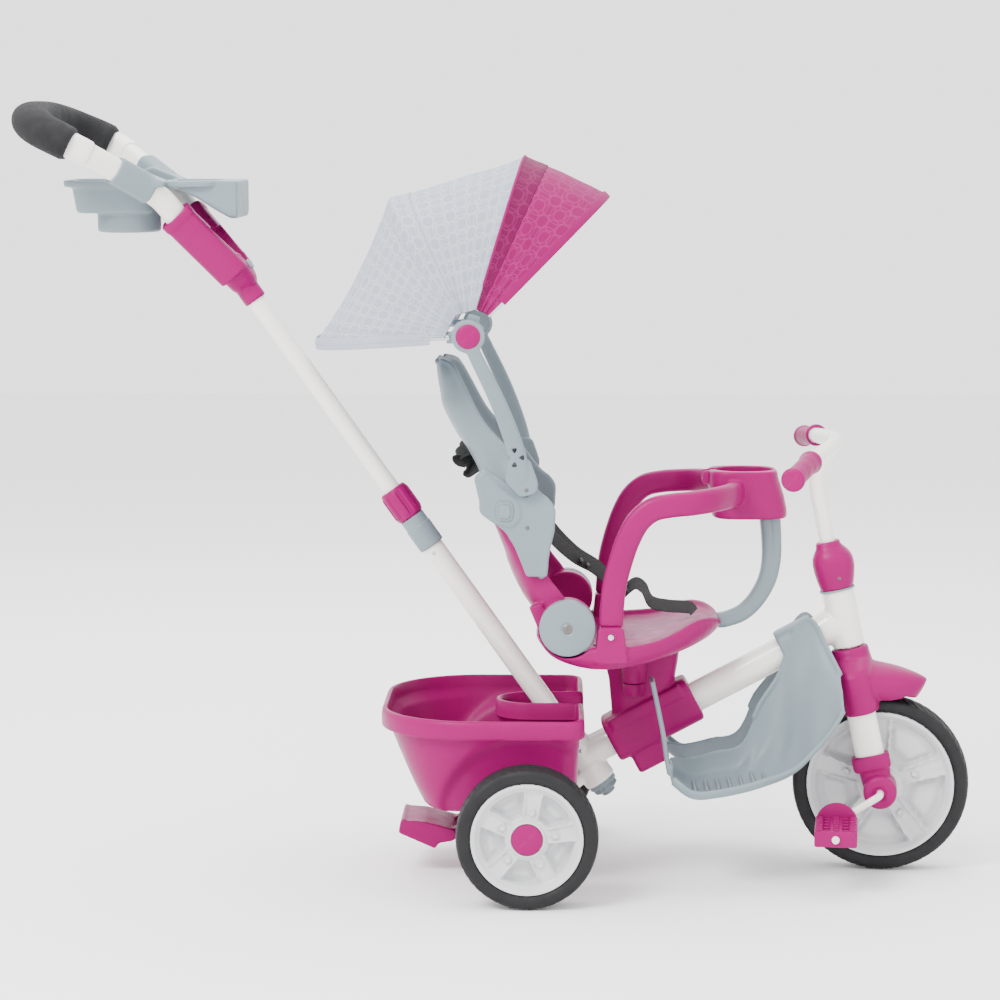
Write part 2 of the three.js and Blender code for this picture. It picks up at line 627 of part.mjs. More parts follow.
function frontRim() {
  return lathe(rimProfile(FRONT_WHEEL_R, 22, 25, CRANK_R + GAP), FRONT_AXLE, Y_AXIS);
}

/** The place of the pedal's axle, out from the wheel's axle along each crank. */
function pedalCentre(side) {
  const angle = CRANK_ANGLE + (side > 0 ? 180 : 0);
  return FRONT_AXLE.clone().add(V(CRANK_LENGTH * cos(angle), 0, CRANK_LENGTH * sin(angle)));
}

function crank() {
  const rightEnd = pedalCentre(-1);
  const leftEnd = pedalCentre(1);
  const at = (p, y) => p.clone().setY(y);
  const bendY = 84;
  const arm = (end, side) => join(
    rod(at(FRONT_AXLE, side * bendY), at(end, side * bendY), CRANK_R, 16),
    rod(at(end, side * bendY), at(end, side * (PEDAL_OUT_Y + 3)), CRANK_R, 16),
    new THREE.SphereGeometry(CRANK_R + 0.05, 16, 10).translate(FRONT_AXLE.x, side * bendY, FRONT_AXLE.z),
    new THREE.SphereGeometry(CRANK_R + 0.05, 16, 10).translate(end.x, side * bendY, end.z),
  );
  const middle = rod(at(FRONT_AXLE, -bendY), at(FRONT_AXLE, bendY), CRANK_R, 16);
  return join(middle, arm(rightEnd, -1), arm(leftEnd, 1));
}

function pedal(side) {
  const c = pedalCentre(side);
  const [y0, y1] = [side * PEDAL_IN_Y, side * PEDAL_OUT_Y].sort((a, b) => a - b);
  const half = PEDAL_LENGTH / 2;
  const tread = block(c.x - half, c.x + half, y0, y1, c.z - 9, c.z + 9);
  const flangeY = side * (PEDAL_IN_Y + 3);
  const flange = rod(V(c.x, flangeY - 3, c.z), V(c.x, flangeY + 3, c.z), half, 28);
  const windows = [-13, 13].map((dx) =>
    block(c.x + dx - 5, c.x + dx + 5, y0 + 14, y1 - 14, c.z - 20, c.z + 20));
  const bore = rod(V(c.x, y0 - 2, c.z), V(c.x, y1 + 2, c.z), CRANK_R + GAP, 16);
  return cut(join(tread, flange), ...windows, bore);
}

// ---------- push pole, in its straight place ----------

const polePiece = (from, to, outer, inner) => pipe(onPole(from), onPole(to), outer, inner, 28);

function collarNut() {
  const p = POLE_STATIONS;
  const ribs = Array.from({ length: 6 }, (_, i) => {
    const r = 17.4;
    const a = i * 60 + 30;
    const at = (s) => onPole(s, r * cos(a), r * sin(a));
    return rod(at(p.sleeveTop + 5), at(p.nutTop - 6), 2.6, 8);
  });
  const body = lathe(
    [[0, 0], [16, 0], [17.6, 3], [17.6, 34], [15, 41.4], [0, 41.4]], onPole(p.sleeveTop + GAP), POLE_DIR, 32,
  );
  const bore = rod(onPole(p.sleeveTop - 5), onPole(p.nutTop + 10), UPPER_POLE_R + GAP, 28);
  return cut(join(body, ...ribs), bore);
}

const ARM_BEND = V(-408, 60, 838);
const ARM_FOOT = V(-384, 42, 806);
const ARM_END = V(-498, HANDLE_HALF, 899);
const GRIP_CROWN = V(-566, 0, 932);

function handlePath() {
  const right = [ARM_FOOT, ARM_BEND, V(-452, 88, 869), ARM_END, V(-540, 104, 919), V(-562, 58, 930)];
  const flip = (p) => V(p.x, -p.y, p.z);
  return [...right, GRIP_CROWN, ...right.slice().reverse().map(flip)];
}

const HANDLE_CURVE = new THREE.CatmullRomCurve3(handlePath());

/** The tube bent round under the foam, from one of the bracket's sockets to the other. */
const handleTube = (grow) => sweep(handlePath(), () => [14 + grow, 11 + grow], Z_AXIS, 36, 2.4, 10);

function foamGrip() {
  const points = spread(17, FOAM_SHARE, 1 - FOAM_SHARE).map((t) => HANDLE_CURVE.getPointAt(t));
  const foam = sweep(points, (t) => {
    const edge = Math.min(t, 1 - t) < 0.02 ? 2 : 0;
    return [FOAM_R - edge, FOAM_R - 3 - edge];
  }, Z_AXIS, 20, 2, 12);
  return cut(foam, handleTube(GAP));
}

function handleBracket() {
  const p = POLE_STATIONS;
  const neck = rod(onPole(p.bracketNeck), onPole(p.bracketBody + 8), 14.5, 24);
  const throat = loft([
    ovalRing(onPole(p.bracketBody - 2, 0), POLE_ACROSS, Y_AXIS, 15, 16, 3, 20),
    ovalRing(onPole(p.bracketBody + 16, 0), POLE_ACROSS, Y_AXIS, 19, 30, 3, 20),
    ovalRing(onPole(p.bracketBody + 34, 0), POLE_ACROSS, Y_AXIS, 20, 40, 3, 20),
  ]);
  const sockets = SIDES.map(([, side]) => {
    const foot = onPole(p.bracketBody + 16, 0, side * 18);
    const mouth = V(-389, side * 46, 812);
    return sweep([foot, foot.clone().lerp(mouth, 0.5), mouth], () => [20, 15], Y_AXIS, 6, 3, 16);
  });
  return cut(
    join(neck, throat, ...sockets),
    handleTube(GAP),
    rod(onPole(p.bracketNeck - 5), onPole(p.upperTop + GAP), UPPER_POLE_R + GAP, 28),
  );
}

const TRAY_Z = 857;

function parentTray() {
  const ring = (z, x0, x1, half, r) => {
    const corner = (cx, cy, from) =>
      spread(3, from, from + 90).map((a) => V(cx + r * cos(a), cy + r * sin(a), z));
    return [
      ...corner(x1 - r, half - r, 0), ...corner(x0 + r, half - r, 90),
      ...corner(x0 + r, -half + r, 180), ...corner(x1 - r, -half + r, 270),
    ];
  };
  const bowl = loft([
    ring(817, -514, -424, 46, 20), ring(TRAY_Z - 12, -522, -410, 50, 22), ring(TRAY_Z, -522, -410, 50, 22),
  ]);
  const lip = loft([ring(TRAY_Z - 8, -530, -330, 54, 26), ring(TRAY_Z, -531, -330, 55, 26)]);
  const apron = loft([ring(TRAY_Z - 46, -337, -316, 40, 8), ring(TRAY_Z, -352, -316, 44, 8)]);
  const hollow = loft([ring(820.4, -510, -428, 42, 17), ring(TRAY_Z + 2, -518, -414, 46, 20)]);
  const cup = rod(V(-456, 0, 793), V(-456, 0, 820), 39, 32);
  const cupHollow = rod(V(-456, 0, 796), V(-456, 0, 830), 35.5, 32);
  const clips = SIDES.map(([, side]) => sweep(
    [V(-432, side * 48, 853), V(-428, side * 62, 868), V(-425, side * 76, 875), V(-421, side * 92, 868)],
    () => [4, 17], V(1, 0, 0.5).normalize(), 8, 4, 10,
  ));
  const frontPan = loft([ring(TRAY_Z - 5, -400, -340, 40, 14), ring(TRAY_Z + 2, -402, -338, 42, 14)]);
  return cut(
    join(bowl, lip, apron, cup, ...clips),
    hollow, cupHollow, frontPan,
    handleTube(GAP),
    onPoleSleeve(),
  );
}

/** Room for the bracket where the tray passes over it. */
function onPoleSleeve() {
  return rod(onPole(POLE_STATIONS.bracketBody + 10), onPole(POLE_STATIONS.bracketBody + 84), 52, 24);
}

// ---------- seat ----------

const SEAT = {
  width: [
    [47, 122], [60, 148], [85, 162], [115, SEAT_HALF], [142, SEAT_HALF], [165, 159], [190, 145],
    [215, 123], [240, 92], [258, 62], [270, 34], [276, 10],
  ],
  bottom: [
    [47, 306], [63, 287], [85, 278], [114, 272], [137, 272], [171, 276], [219, 286], [245, 293],
    [265, 300], [276, 308],
  ],
  top: [
    [47, 313], [63, 309], [85, 303], [115, 301], [140, 301], [190, 307], [215, 315], [240, 325],
    [258, 326], [270, 320], [276, 312],
  ],
};

function seatBody() {
  const xs = [47, 54, 66, 85, 115, 142, 170, 195, 220, 244, 260, 270, 276];
  return loft(xs.map((x) => {
    const [top, bottom] = [through(SEAT.top, x), through(SEAT.bottom, x)];
    const centre = V(x, 0, (top + bottom) / 2);
    return ovalRing(centre, Y_AXIS, Z_AXIS, through(SEAT.width, x), (top - bottom) / 2, 3.2, 20);
  }));
}

const SEAT_FLOOR = 10;             // wall under the dished sitting surface
const DISH_X = 150;
const RING_FOOT = { x0: 122, x1: 151, top: 327 };

function seatPan() {
  const sockets = SIDES.map(([, side]) => {
    const [y0, y1] = side < 0 ? [-SEAT_HALF, -133] : [133, SEAT_HALF];
    return block(RING_FOOT.x0, RING_FOOT.x1, y0, y1, 285, RING_FOOT.top);
  });
  const recesses = SIDES.map(([, side]) =>
    rod(V(PIVOT_X, side * 112, PIVOT_Z), V(PIVOT_X, side * 200, PIVOT_Z), DISC_R + 2.5, 40));
  const pockets = SIDES.map(([, side]) => tongue(side, GAP, -2));
  const buttons = SIDES.map(([, side]) => buttonRod(side, GAP, 3));
  const barPocket = crotchTongue(GAP, 2);
  const dish = seatBody().translate(-DISH_X, 0, 0).scale(0.8, 0.93, 1).translate(DISH_X, 0, SEAT_FLOOR);
  return cut(join(cut(seatBody(), dish), ...sockets), ...recesses, ...pockets, ...buttons, barPocket);
}

/** The ring's tongue, which drops into the seat's socket. */
function tongue(side, grow, deeper) {
  const y = side * RING_HALF;
  return block(128 - grow, 145 + grow, y - 7 - grow, y + 7 + grow, 306 + deeper, 330 + grow);
}

/** The groove in the tongue that lets it pass a pressed button. */
function tongueGroove(side) {
  const y = side * (RING_HALF + 7);
  return block(131.5, 141.5, y - 2.6, y + 2.6, 300, 320);
}

function buttonRod(side, grow, deeper) {
  const y = side * (RING_HALF + 8.4);
  return rod(V(136.5, y - side * deeper, 315), V(136.5, side * (SEAT_HALF + 2), 315), 4 + grow, 16);
}

/** The crotch bar's tongue, which drops into the front of the seat. */
function crotchTongue(grow, deeper) {
  return block(256 - grow, 268 + grow, -9 - grow, 9 + grow, 309 - deeper, 332);
}

const SEAT_CLEARANCE = 0.5;        // between the pan and the column under it

function seatColumn() {
  const column = loft([
    [200, 178, 39, 28], [230, 178, 41, 29], [268, 176, 48, 30], [290, 176, 49, 30],
  ].map(([z, x, a, b]) => ovalRing(V(x, 0, z), V(1, 0, 0), Y_AXIS, a, b, 4, 20)));
  const sleeve = loft([40, 158].map((t) => ovalRing(onTube(t, 2), Y_AXIS, TUBE_UP, 33, 29, 4, 24)));
  const latchBox = loft([56, 94].map((t) => ovalRing(onTube(t, -36), Y_AXIS, TUBE_UP, 25, 16, 5, 16)));
  const latchGuide = rod(V(167.5, -43, 240), V(167.5, -43, 290), 15, 24);
  return cut(
    join(column, sleeve, latchBox, latchGuide),
    moved(seatBody(), 0, 0, -SEAT_CLEARANCE),
    rod(onTube(-40), onTube(330), MAIN_TUBE_R + GAP, 32),
    rod(V(167.5, -43, 230), V(167.5, -43, 262), 5 + GAP, 16),
  );
}

function seatLockKnob() {
  const profile = [[0, 0], [12, 0], [14, 2], [14, 15.6], [5, 15.6], [5, 36], [0, 36]];
  return lathe(profile, V(167.5, -43, 224), Z_AXIS, 24);
}

// ---------- backrest, built upright on its pivot line and leaned back ----------

const PIVOT = V(PIVOT_X, 0, PIVOT_Z);
const BACK_UP = V(-sin(RECLINE), 0, cos(RECLINE));
const BACK_OUT = V(cos(RECLINE), 0, sin(RECLINE));
const onBack = (t, n, y = 0) => reach(PIVOT, BACK_UP, t, BACK_OUT, n, y);

/** U-shaped sections: the middle lies at `rear`, the wings reach forward to `front`. */
function backShell(from, to, rows, rear, front, half, thickness) {
  const power = 2 / 3.6;
  const grid = spread(rows, from, to).map((t) => spread(13, -90, 90).map((a) => {
    const [r, f, w] = [through(rear, t), through(front, t), through(half, t)];
    const y = w * Math.sign(sin(a)) * Math.abs(sin(a)) ** power;
    return onBack(t, f - (f - r) * Math.abs(cos(a)) ** power, y);
  }));
  return sheet(grid, -thickness);
}

const UPPER = {
  rear: [
    [66, -8], [80, -13], [115, -13], [150, -20], [170, -24], [188, -21], [208, -15], [242, -15],
    [262, -18], [300, -18], [317, -13], [342, -5], [351, 0],
  ],
  front: [
    [66, 2], [87, 18], [104, 30], [125, 46], [137, 51], [150, 48], [161, 43], [200, 37], [226, 31],
    [248, 24], [270, 20], [333, 19], [344, 15], [351, 6],
  ],
  half: [
    [66, BACK_HALF], [150, BACK_HALF], [175, 144], [210, 126], [260, 112], [300, 102], [330, 88],
    [344, 72], [351, 58],
  ],
};
const LOWER = {
  rear: [[16, -29], [48, -34.8], [76, -35], [97, -33], [110, -30], [138, -26], [147, -25]],
  front: [[16, 9], [32, 10.7], [58, 6], [90, 2], [120, -8], [147, -14]],
};

function upperBack() {
  const shell = backShell(66, 351, 18, UPPER.rear, UPPER.front, UPPER.half, SHELL);
  const lowMiddle = loft([-40, 148].map((t) =>
    ovalRing(onBack(t, 0), BACK_OUT, Y_AXIS, 90, BACK_HALF - 7, 12, 24)));
  const slots = SIDES.map(([, side]) =>
    loft([208, 246].map((t) => ovalRing(onBack(t, -20, side * 52), BACK_OUT, Y_AXIS, 30, 15, 4, 12))));
  return cut(shell, lowMiddle, ...slots);
}

function lowerBack() {
  const half = [[0, BACK_HALF - SHELL - 3], [200, BACK_HALF - SHELL - 3]];
  const shell = backShell(16, 147, 8, LOWER.rear, LOWER.front, half, SHELL);
  const discs = SIDES.map(([, side]) =>
    rod(V(PIVOT_X, side * 118, PIVOT_Z), V(PIVOT_X, side * 143.6, PIVOT_Z), DISC_R - 0.5, 40));
  const behind = [[16, -36, -22], [34, -36, -22]];
  const webs = SIDES.map(([, side]) => sweep(
    behind.map(([t, n]) => onBack(t, n + 12, side * 131)), () => [9, 12], Y_AXIS, 2, 4, 8,
  ));
  return join(shell, ...discs, ...webs);
}

function reclineCap(side) {
  const profile = [[0, 0], [DISC_R, 0], [DISC_R, 15], [DISC_R - 3, 18], [0, 20]];
  return lathe(profile, V(PIVOT_X, side * 144, PIVOT_Z), V(0, side, 0), 40);
}

function canopyArm(side) {
  const at = (x, y, z) => V(x, side * y, z);
  const line = [
    at(30, 158, 500), at(24, 163, 535), at(12, 173, 572), at(-2, 183, 606), at(-20, 191, 643),
    at(-30, 193, 664),
  ];
  const bar = sweep(line, (t) => [11 - 3.5 * t, 6 - t], Y_AXIS, 14, 4, 12);
  const outline = [[10, 500], [29, 480], [48, 485], [50, 496], [39, 524], [16, 526]];
  const boss = new THREE.Shape(outline.map(([x, z]) => new THREE.Vector2(x, z)));
  const foot = new THREE.ExtrudeGeometry(boss, { depth: 13, bevelEnabled: false }).rotateX(Math.PI / 2);
  const y0 = BACK_HALF + GAP;
  const placed = tidy(foot).translate(0, side < 0 ? -y0 : y0 + 13, 0);
  const hub = rod(at(HUB_X, 186, HUB_Z), at(HUB_X, 196, HUB_Z), HUB_R, 32);
  const pinHole = rod(at(HUB_X, 180, HUB_Z), at(HUB_X, 193, HUB_Z), 6 + GAP, 20);
  const hubRoom = rod(at(HUB_X, 170, HUB_Z), at(HUB_X, 186, HUB_Z), HUB_R, 32);
  return cut(join(bar, placed, hub), pinHole, hubRoom);
}

// ---------- canopy ----------

function bowPoints(crown, count) {
  const radius = Math.hypot(crown[0] - HUB_X, crown[1] - HUB_Z);
  const dir = V(crown[0] - HUB_X, 0, crown[1] - HUB_Z).normalize();
  const power = 2 / 3.4;
  const start = 4;
  return spread(count, start, 180 - start).map((a) => {
    const r = radius * Math.abs(sin(a)) ** power;
    const y = -Math.sign(cos(a)) * BOW_HALF * Math.abs(cos(a)) ** power;
    return V(HUB_X, 0, HUB_Z).addScaledVector(dir, r).add(V(0, y, 0));
  });
}

function bow(crown, radius = BOW_R) {
  const side = V(crown[0] - HUB_X, 0, crown[1] - HUB_Z).normalize().cross(Y_AXIS);
  return sweep(bowPoints(crown, 21), () => [radius, radius], side, 20, 2, 6);
}

function canopyHub(side) {
  const disc = rod(V(HUB_X, side * 176.5, HUB_Z), V(HUB_X, side * 185.6, HUB_Z), HUB_R - 2, 28);
  const pin = rod(V(HUB_X, side * 184, HUB_Z), V(HUB_X, side * 192, HUB_Z), 6, 20);
  const stubs = Object.values(BOWS).map((crown) => {
    const dir = V(crown[0] - HUB_X, 0, crown[1] - HUB_Z).normalize();
    const from = V(HUB_X, side * 181, HUB_Z);
    const line = [0, 22, 46].map((s) => from.clone().addScaledVector(dir, s));
    return sweep(line, () => [7, 3], Y_AXIS, 2, 4, 8);
  });
  return cut(join(disc, pin, ...stubs), ...Object.values(BOWS).map((crown) => bow(crown, BOW_R + GAP)));
}

/** Cloth from bow to bow, just outside the bows; `laps` keeps its first and last rows off the bows. */
function canopyCloth(keys, laps) {
  const rise = BOW_R + 1.6;
  const rows = keys.map((crown) => {
    const out = V(crown[0] - HUB_X, 0, crown[1] - HUB_Z).setLength(rise);
    const lifted = bowPoints([crown[0] + out.x, crown[1] + out.z], 21);
    return lifted.map((q) => q.setY(q.y * (1 + rise / BOW_HALF)));
  });
  const last = rows.length - 1;
  const grid = spread(4 * last + 1, laps[0], last - laps[1]).map((k) => {
    const i = Math.min(Math.floor(k), last - 1);
    return rows[i].map((q, j) => q.clone().lerp(rows[i + 1][j], k - i));
  });
  return sheet(grid, FABRIC);
}

// ---------- arm ring ----------

function armRing() {
  const half = [
    [136.5, RING_HALF, 329], [138, RING_HALF, 350], [141, RING_HALF, 376], [148, RING_HALF, 404],
    [157, RING_HALF, 430], [169, RING_HALF, 452], [186, RING_HALF, 466], [208, RING_HALF, 471],
    [232, RING_HALF - 4, 473], [256, 130, 475], [276, 98, 476], [286, 66, 476], [292, 46, 476],
  ];
  const arms = SIDES.map(([, side]) => join(
    sweep(half.map(([x, y, z]) => V(x, side * y, z)), () => RING_SECTION, V(0, 1, 0.001), 18, 3, 10),
    cut(tongue(side, 0, 0), tongueGroove(side)),
  ));
  const cup = loft([
    [442, 9, 47, 45], [450, 8, 48, 47], [488, 1, 44, 49], [CUP_TOP_Z, 0, 41, 48],
  ].map(([z, lead, a, b]) => ovalRing(V(CUP_X + lead - 1, 0, z), V(1, 0, 0), Y_AXIS, a, b, 2.8, 28)));
  const notchBlock = block(251, 275, -15, 15, 484, 500);
  const hollow = rod(V(CUP_X, 0, CUP_FLOOR_Z), V(CUP_X, 0, CUP_TOP_Z + 10), CUP_R, 36);
  return cut(join(...arms, cup, notchBlock), hollow, block(256, 300, -10, 10, 490, 520), crotchBarTop(GAP));
}

function crotchBarTop(grow) {
  return block(326 - grow, 346 + grow, -12 - grow, 12 + grow, 420, 444 + grow);
}

function crotchBar() {
  const line = [
    V(336, 0, 440), V(338, 0, 415), V(338, 0, 388), V(333, 0, 363), V(320, 0, 339), V(303, 0, 322),
    V(284, 0, 314),
  ];
  const bar = sweep(line, (t) => [13 - 3 * t, 15 - 4 * t], Y_AXIS, 20, 3.4, 14);
  const end = block(256, 288, -9, 9, 310, 322);
  const seat = moved(seatBody(), 0.5, 0, 0);
  const tongueOnly = crotchTongue(0, 0);
  const above = cut(join(bar, end), seat, block(240, 400, -40, 40, 441.4, 470));
  return join(above, common(tongueOnly, block(240, 280, -20, 20, 310, 322)));
}

// ---------- harness ----------

function strap(points, side = Y_AXIS, half = 9) {
  return sweep(points, () => [1.1, half], side, 12, 4, 8);
}

function shoulderStrap(side) {
  const at = (x, y, z) => V(x, side * y, z);
  return strap([
    onBack(228, SHELL - 1, side * 52), at(34, 48, 470), at(66, 40, 424), at(96, 22, 388), at(112, 10, 372),
  ]);
}

function buckle() {
  return loft([[0, 8], [8, 15], [30, 15], [38, 9]].map(([s, b]) =>
    ovalRing(V(116 + s * 0.35, 0, 366 - s * 0.94), V(0.94, 0, 0.35), Y_AXIS, 5, b, 4, 12)));
}

function crotchStrap() {
  return strap([V(134, 0, 326), V(165, 0, 322), V(210, 0, 324), V(251, 0, 328)]);
}

// ---------- brake ----------

/** A foot plate behind the bucket on two arms that clip round the axle tube from below. */
function brakePedal() {
  const slab = (outline, y0, y1) => {
    const shape = new THREE.Shape(outline.map(([x, z]) => new THREE.Vector2(x, z)));
    const plate = new THREE.ExtrudeGeometry(shape, { depth: y1 - y0, bevelEnabled: false });
    return tidy(plate.rotateX(Math.PI / 2)).translate(0, y1, 0);
  };
  const foot = [[-121, 67], [-124, 51], [-78, 31], [-74, 38], [-54, 41], [-50, 47], [-54, 55], [-91, 65]];
  const arm = [[-62, 54], [-62, 44], [-20, 54], [30, 72], [34, 84], [24, 84], [-20, 66]];
  const clipR = AXLE_TUBE_R + GAP;
  const arms = SIDES.flatMap(([, side]) => {
    const [y0, y1] = side < 0 ? [-44, -26] : [26, 44];
    return [slab(arm, y0, y1), rod(REAR_AXLE.clone().setY(y0), REAR_AXLE.clone().setY(y1), clipR + 5, 24)];
  });
  const bore = rod(REAR_AXLE.clone().setY(-60), REAR_AXLE.clone().setY(60), clipR, 24);
  const mouth = block(REAR_AXLE.x - 40, REAR_AXLE.x + 40, -60, 60, REAR_AXLE.z + 5.4, REAR_AXLE.z + 40);
  return cut(join(slab(foot, -48, 48), ...arms), bore, mouth);
}

// ---------- assembly ----------

const frontPieces = [
  piece('fork', 'white', fork()),
  piece('fender', 'pink', fender()),
  piece('handlebar', 'white', handlebar()),
  piece('neck_cover', 'pink', neckCover()),
  piece('front_rim', 'rim', frontRim()),
  piece('front_tyre', 'tyre', frontTyreAt(FRONT_AXLE)),
  piece('crank', 'steel', crank()),
  ...SIDES.flatMap(([tag, side]) => [
    piece(`fork_end_${tag}`, 'pink', forkEnd(side)),
    piece(`grip_${tag}`, 'pink', grip(side)),
    piece(`pedal_${tag}`, 'pink', pedal(side)),
  ]),
];

const stations = POLE_STATIONS;
const lowerPole = polePiece(stations.lowerEnd, stations.lowerTop, LOWER_POLE_R, UPPER_POLE_R + GAP);
const poleSleeve = polePiece(stations.sleeveBottom, stations.sleeveTop, 16.6, LOWER_POLE_R + GAP);
const upperPole = polePiece(stations.upperEnd, stations.upperTop, UPPER_POLE_R, UPPER_POLE_R - 1.8);
const polePieces = [
  piece('lower_pole', 'white', lowerPole),
  piece('pole_sleeve', 'grey', poleSleeve),
  piece('collar_nut', 'pink', collarNut()),
  piece('upper_pole', 'white', upperPole),
  piece('handle_bracket', 'pink', handleBracket()),
  piece('handle_frame', 'white', handleTube(0)),
  piece('foam_grip', 'foam', foamGrip()),
  piece('parent_tray', 'grey', parentTray()),
];

const bodyPieces = [
  piece('main_tube', 'white', mainTube()),
  piece('head_tube', 'white', headTube()),
  piece('rear_frame', 'white', rearFrame()),
  piece('socket_cap', 'grey', socketCap()),
  piece('rear_axle', 'steel', rearAxle()),
  piece('bucket', 'pink', bucket()),
  piece('foot_rest', 'grey', footRest()),
  piece('brake_pedal', 'pink', brakePedal()),
  ...SIDES.flatMap(([tag, side]) => rearWheel(tag, side)),
];

const seatPieces = [
  piece('seat_pan', 'pink', seatPan()),
  piece('seat_column', 'pink', seatColumn()),
  piece('seat_lock_knob', 'pink', seatLockKnob()),
  piece('backrest_lower', 'pink', lowerBack()),
  piece('backrest_upper', 'grey', upperBack()),
  piece('arm_ring', 'pink', armRing()),
  piece('crotch_bar', 'grey', crotchBar()),
  piece('crotch_strap', 'strap', crotchStrap()),
  piece('harness_buckle', 'strap', buckle()),
  ...SIDES.flatMap(([tag, side]) => [
    piece(`release_button_${tag}`, 'steel', buttonRod(side, 0, 0)),
    piece(`shoulder_strap_${tag}`, 'strap', shoulderStrap(side)),
    piece(`recline_cap_${tag}`, 'grey', reclineCap(side)),
    piece(`canopy_arm_${tag}`, 'grey', canopyArm(side)),
    piece(`canopy_hub_${tag}`, 'grey', canopyHub(side)),
  ]),
];

const canopyPieces = [
  ...Object.entries(BOWS).map(([name, crown]) => piece(`bow_${name}`, 'steel', bow(crown))),
  piece('canopy_rear', 'cloth', canopyCloth([BOWS.rear, BOWS.mid, BOWS.seam], [0, SEAM_LAP])),
  piece('canopy_front', 'pink', canopyCloth([BOWS.seam, BOWS.visor], [SEAM_LAP, 0])),
];

const placed = new THREE.Group();
placed.add(
  turnedGroup(STEER_FOOT, STEER_DIR, STEER_REST, frontPieces),
  turnedGroup(JOINT, POLE_DIR, POLE_REST, polePieces),
  ...bodyPieces, ...seatPieces, ...canopyPieces,
);
placed.updateMatrixWorld(true);
const extent = new THREE.Box3().setFromObject(placed, true);
const centre = extent.getCenter(V(0, 0, 0));
placed.position.set(-centre.x, -centre.y, -extent.min.z);

/** Turns a point or an axis of the straight front end to where it stands at rest. */
const steered = (v, point = true) => {
  const turned = point ? v.clone().sub(STEER_FOOT) : v.clone();
  turned.applyAxisAngle(STEER_DIR, THREE.MathUtils.degToRad(STEER_REST));
  return point ? turned.add(STEER_FOOT).add(placed.position) : turned;
};
const still = (v) => v.clone().add(placed.position);

const tricycle = new THREE.Group();
tricycle.add(placed);
tricycle.userData.pivots = {
  steering: [still(STEER_FOOT), STEER_DIR],
  front_wheel_spin: [steered(FRONT_AXLE), steered(Y_AXIS, false)],
  pedal_spin_r: [steered(pedalCentre(-1).setY(-PEDAL_OUT_Y)), steered(Y_AXIS, false)],
  pedal_spin_l: [steered(pedalCentre(1).setY(PEDAL_OUT_Y)), steered(Y_AXIS, false)],
  rear_wheel_spin: [still(REAR_AXLE), Y_AXIS],
  handle_steer: [still(JOINT), POLE_DIR],
  recline: [still(PIVOT), Y_AXIS],
  canopy_tilt: [still(V(HUB_X, 0, HUB_Z)), Y_AXIS],
  seat_slide: [still(JOINT), TUBE_DIR],
};

export default tricycle;
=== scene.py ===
"""The looks of the push tricycle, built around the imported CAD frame.

Lengths are in mm until a piece is placed.
"""

import math

import bmesh
import bpy
from mathutils import Matrix, Vector, noise


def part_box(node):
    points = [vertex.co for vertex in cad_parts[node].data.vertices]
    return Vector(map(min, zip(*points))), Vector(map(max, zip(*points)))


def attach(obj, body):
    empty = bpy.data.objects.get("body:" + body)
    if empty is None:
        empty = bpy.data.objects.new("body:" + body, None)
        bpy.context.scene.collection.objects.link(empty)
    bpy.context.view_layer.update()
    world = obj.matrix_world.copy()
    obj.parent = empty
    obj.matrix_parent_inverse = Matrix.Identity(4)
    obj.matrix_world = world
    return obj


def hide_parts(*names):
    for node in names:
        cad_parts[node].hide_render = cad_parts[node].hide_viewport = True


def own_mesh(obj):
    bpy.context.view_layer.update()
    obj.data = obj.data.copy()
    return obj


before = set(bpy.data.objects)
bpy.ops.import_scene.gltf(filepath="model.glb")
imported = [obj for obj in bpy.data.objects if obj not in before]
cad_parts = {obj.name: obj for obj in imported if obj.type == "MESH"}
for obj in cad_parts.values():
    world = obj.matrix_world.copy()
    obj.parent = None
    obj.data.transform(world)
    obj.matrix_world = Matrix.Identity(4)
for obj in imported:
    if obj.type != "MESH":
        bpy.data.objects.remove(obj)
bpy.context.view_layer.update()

# ---------- places in the frame ----------

AXLE = Vector((37.7, 0, 84.6))
axle_low, axle_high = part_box("rear_axle")
SHIFT = (axle_low + axle_high) * 500 - AXLE
SIDES = (("r", -1), ("l", 1))


def unit(degrees):
    """The direction that many degrees back from vertical, in the centre plane."""
    return Vector((-math.sin(math.radians(degrees)), 0, math.cos(math.radians(degrees))))


def across(direction):
    """Square to a direction in the centre plane, towards the front."""
    return Vector((direction.z, 0, -direction.x))


Y = Vector((0, 1, 0))
Z = Vector((0, 0, 1))
JOINT = Vector((105, 0, 141.2))
TUBE_DIR = unit(27.9 - 90)
TUBE_UP = -across(TUBE_DIR)
STEER_FOOT = Vector((435.7, 0, 280.5))
STEER_DIR = unit(12.2)
STEER_ACROSS = across(STEER_DIR)
POLE_DIR = unit(35.5)
POLE_ACROSS = across(POLE_DIR)
PIVOT = Vector((85, 0, 324))
BACK_UP = unit(27.2)
BACK_OUT = across(BACK_UP)
HUB = Vector((-32, 0, 673))
FRONT_AXLE_Z = 108.97
STEER_REST = -6.5
POLE_REST = -3.6


def turned(point, axis, degrees):
    spin = Matrix.Rotation(math.radians(degrees), 4, axis)
    return Matrix.Translation(point) @ spin @ Matrix.Translation(-point)


TO_FRAME = Matrix.Scale(0.001, 4) @ Matrix.Translation(SHIFT)
STILL = TO_FRAME
FRONT = TO_FRAME @ turned(STEER_FOOT, STEER_DIR, STEER_REST)
POLE = TO_FRAME @ turned(JOINT, POLE_DIR, POLE_REST)


def on_tube(t, up=0.0, y=0.0):
    return JOINT + TUBE_DIR * t + TUBE_UP * up + Y * y


def on_pole(s, out=0.0, y=0.0):
    return JOINT + POLE_DIR * s + POLE_ACROSS * out + Y * y


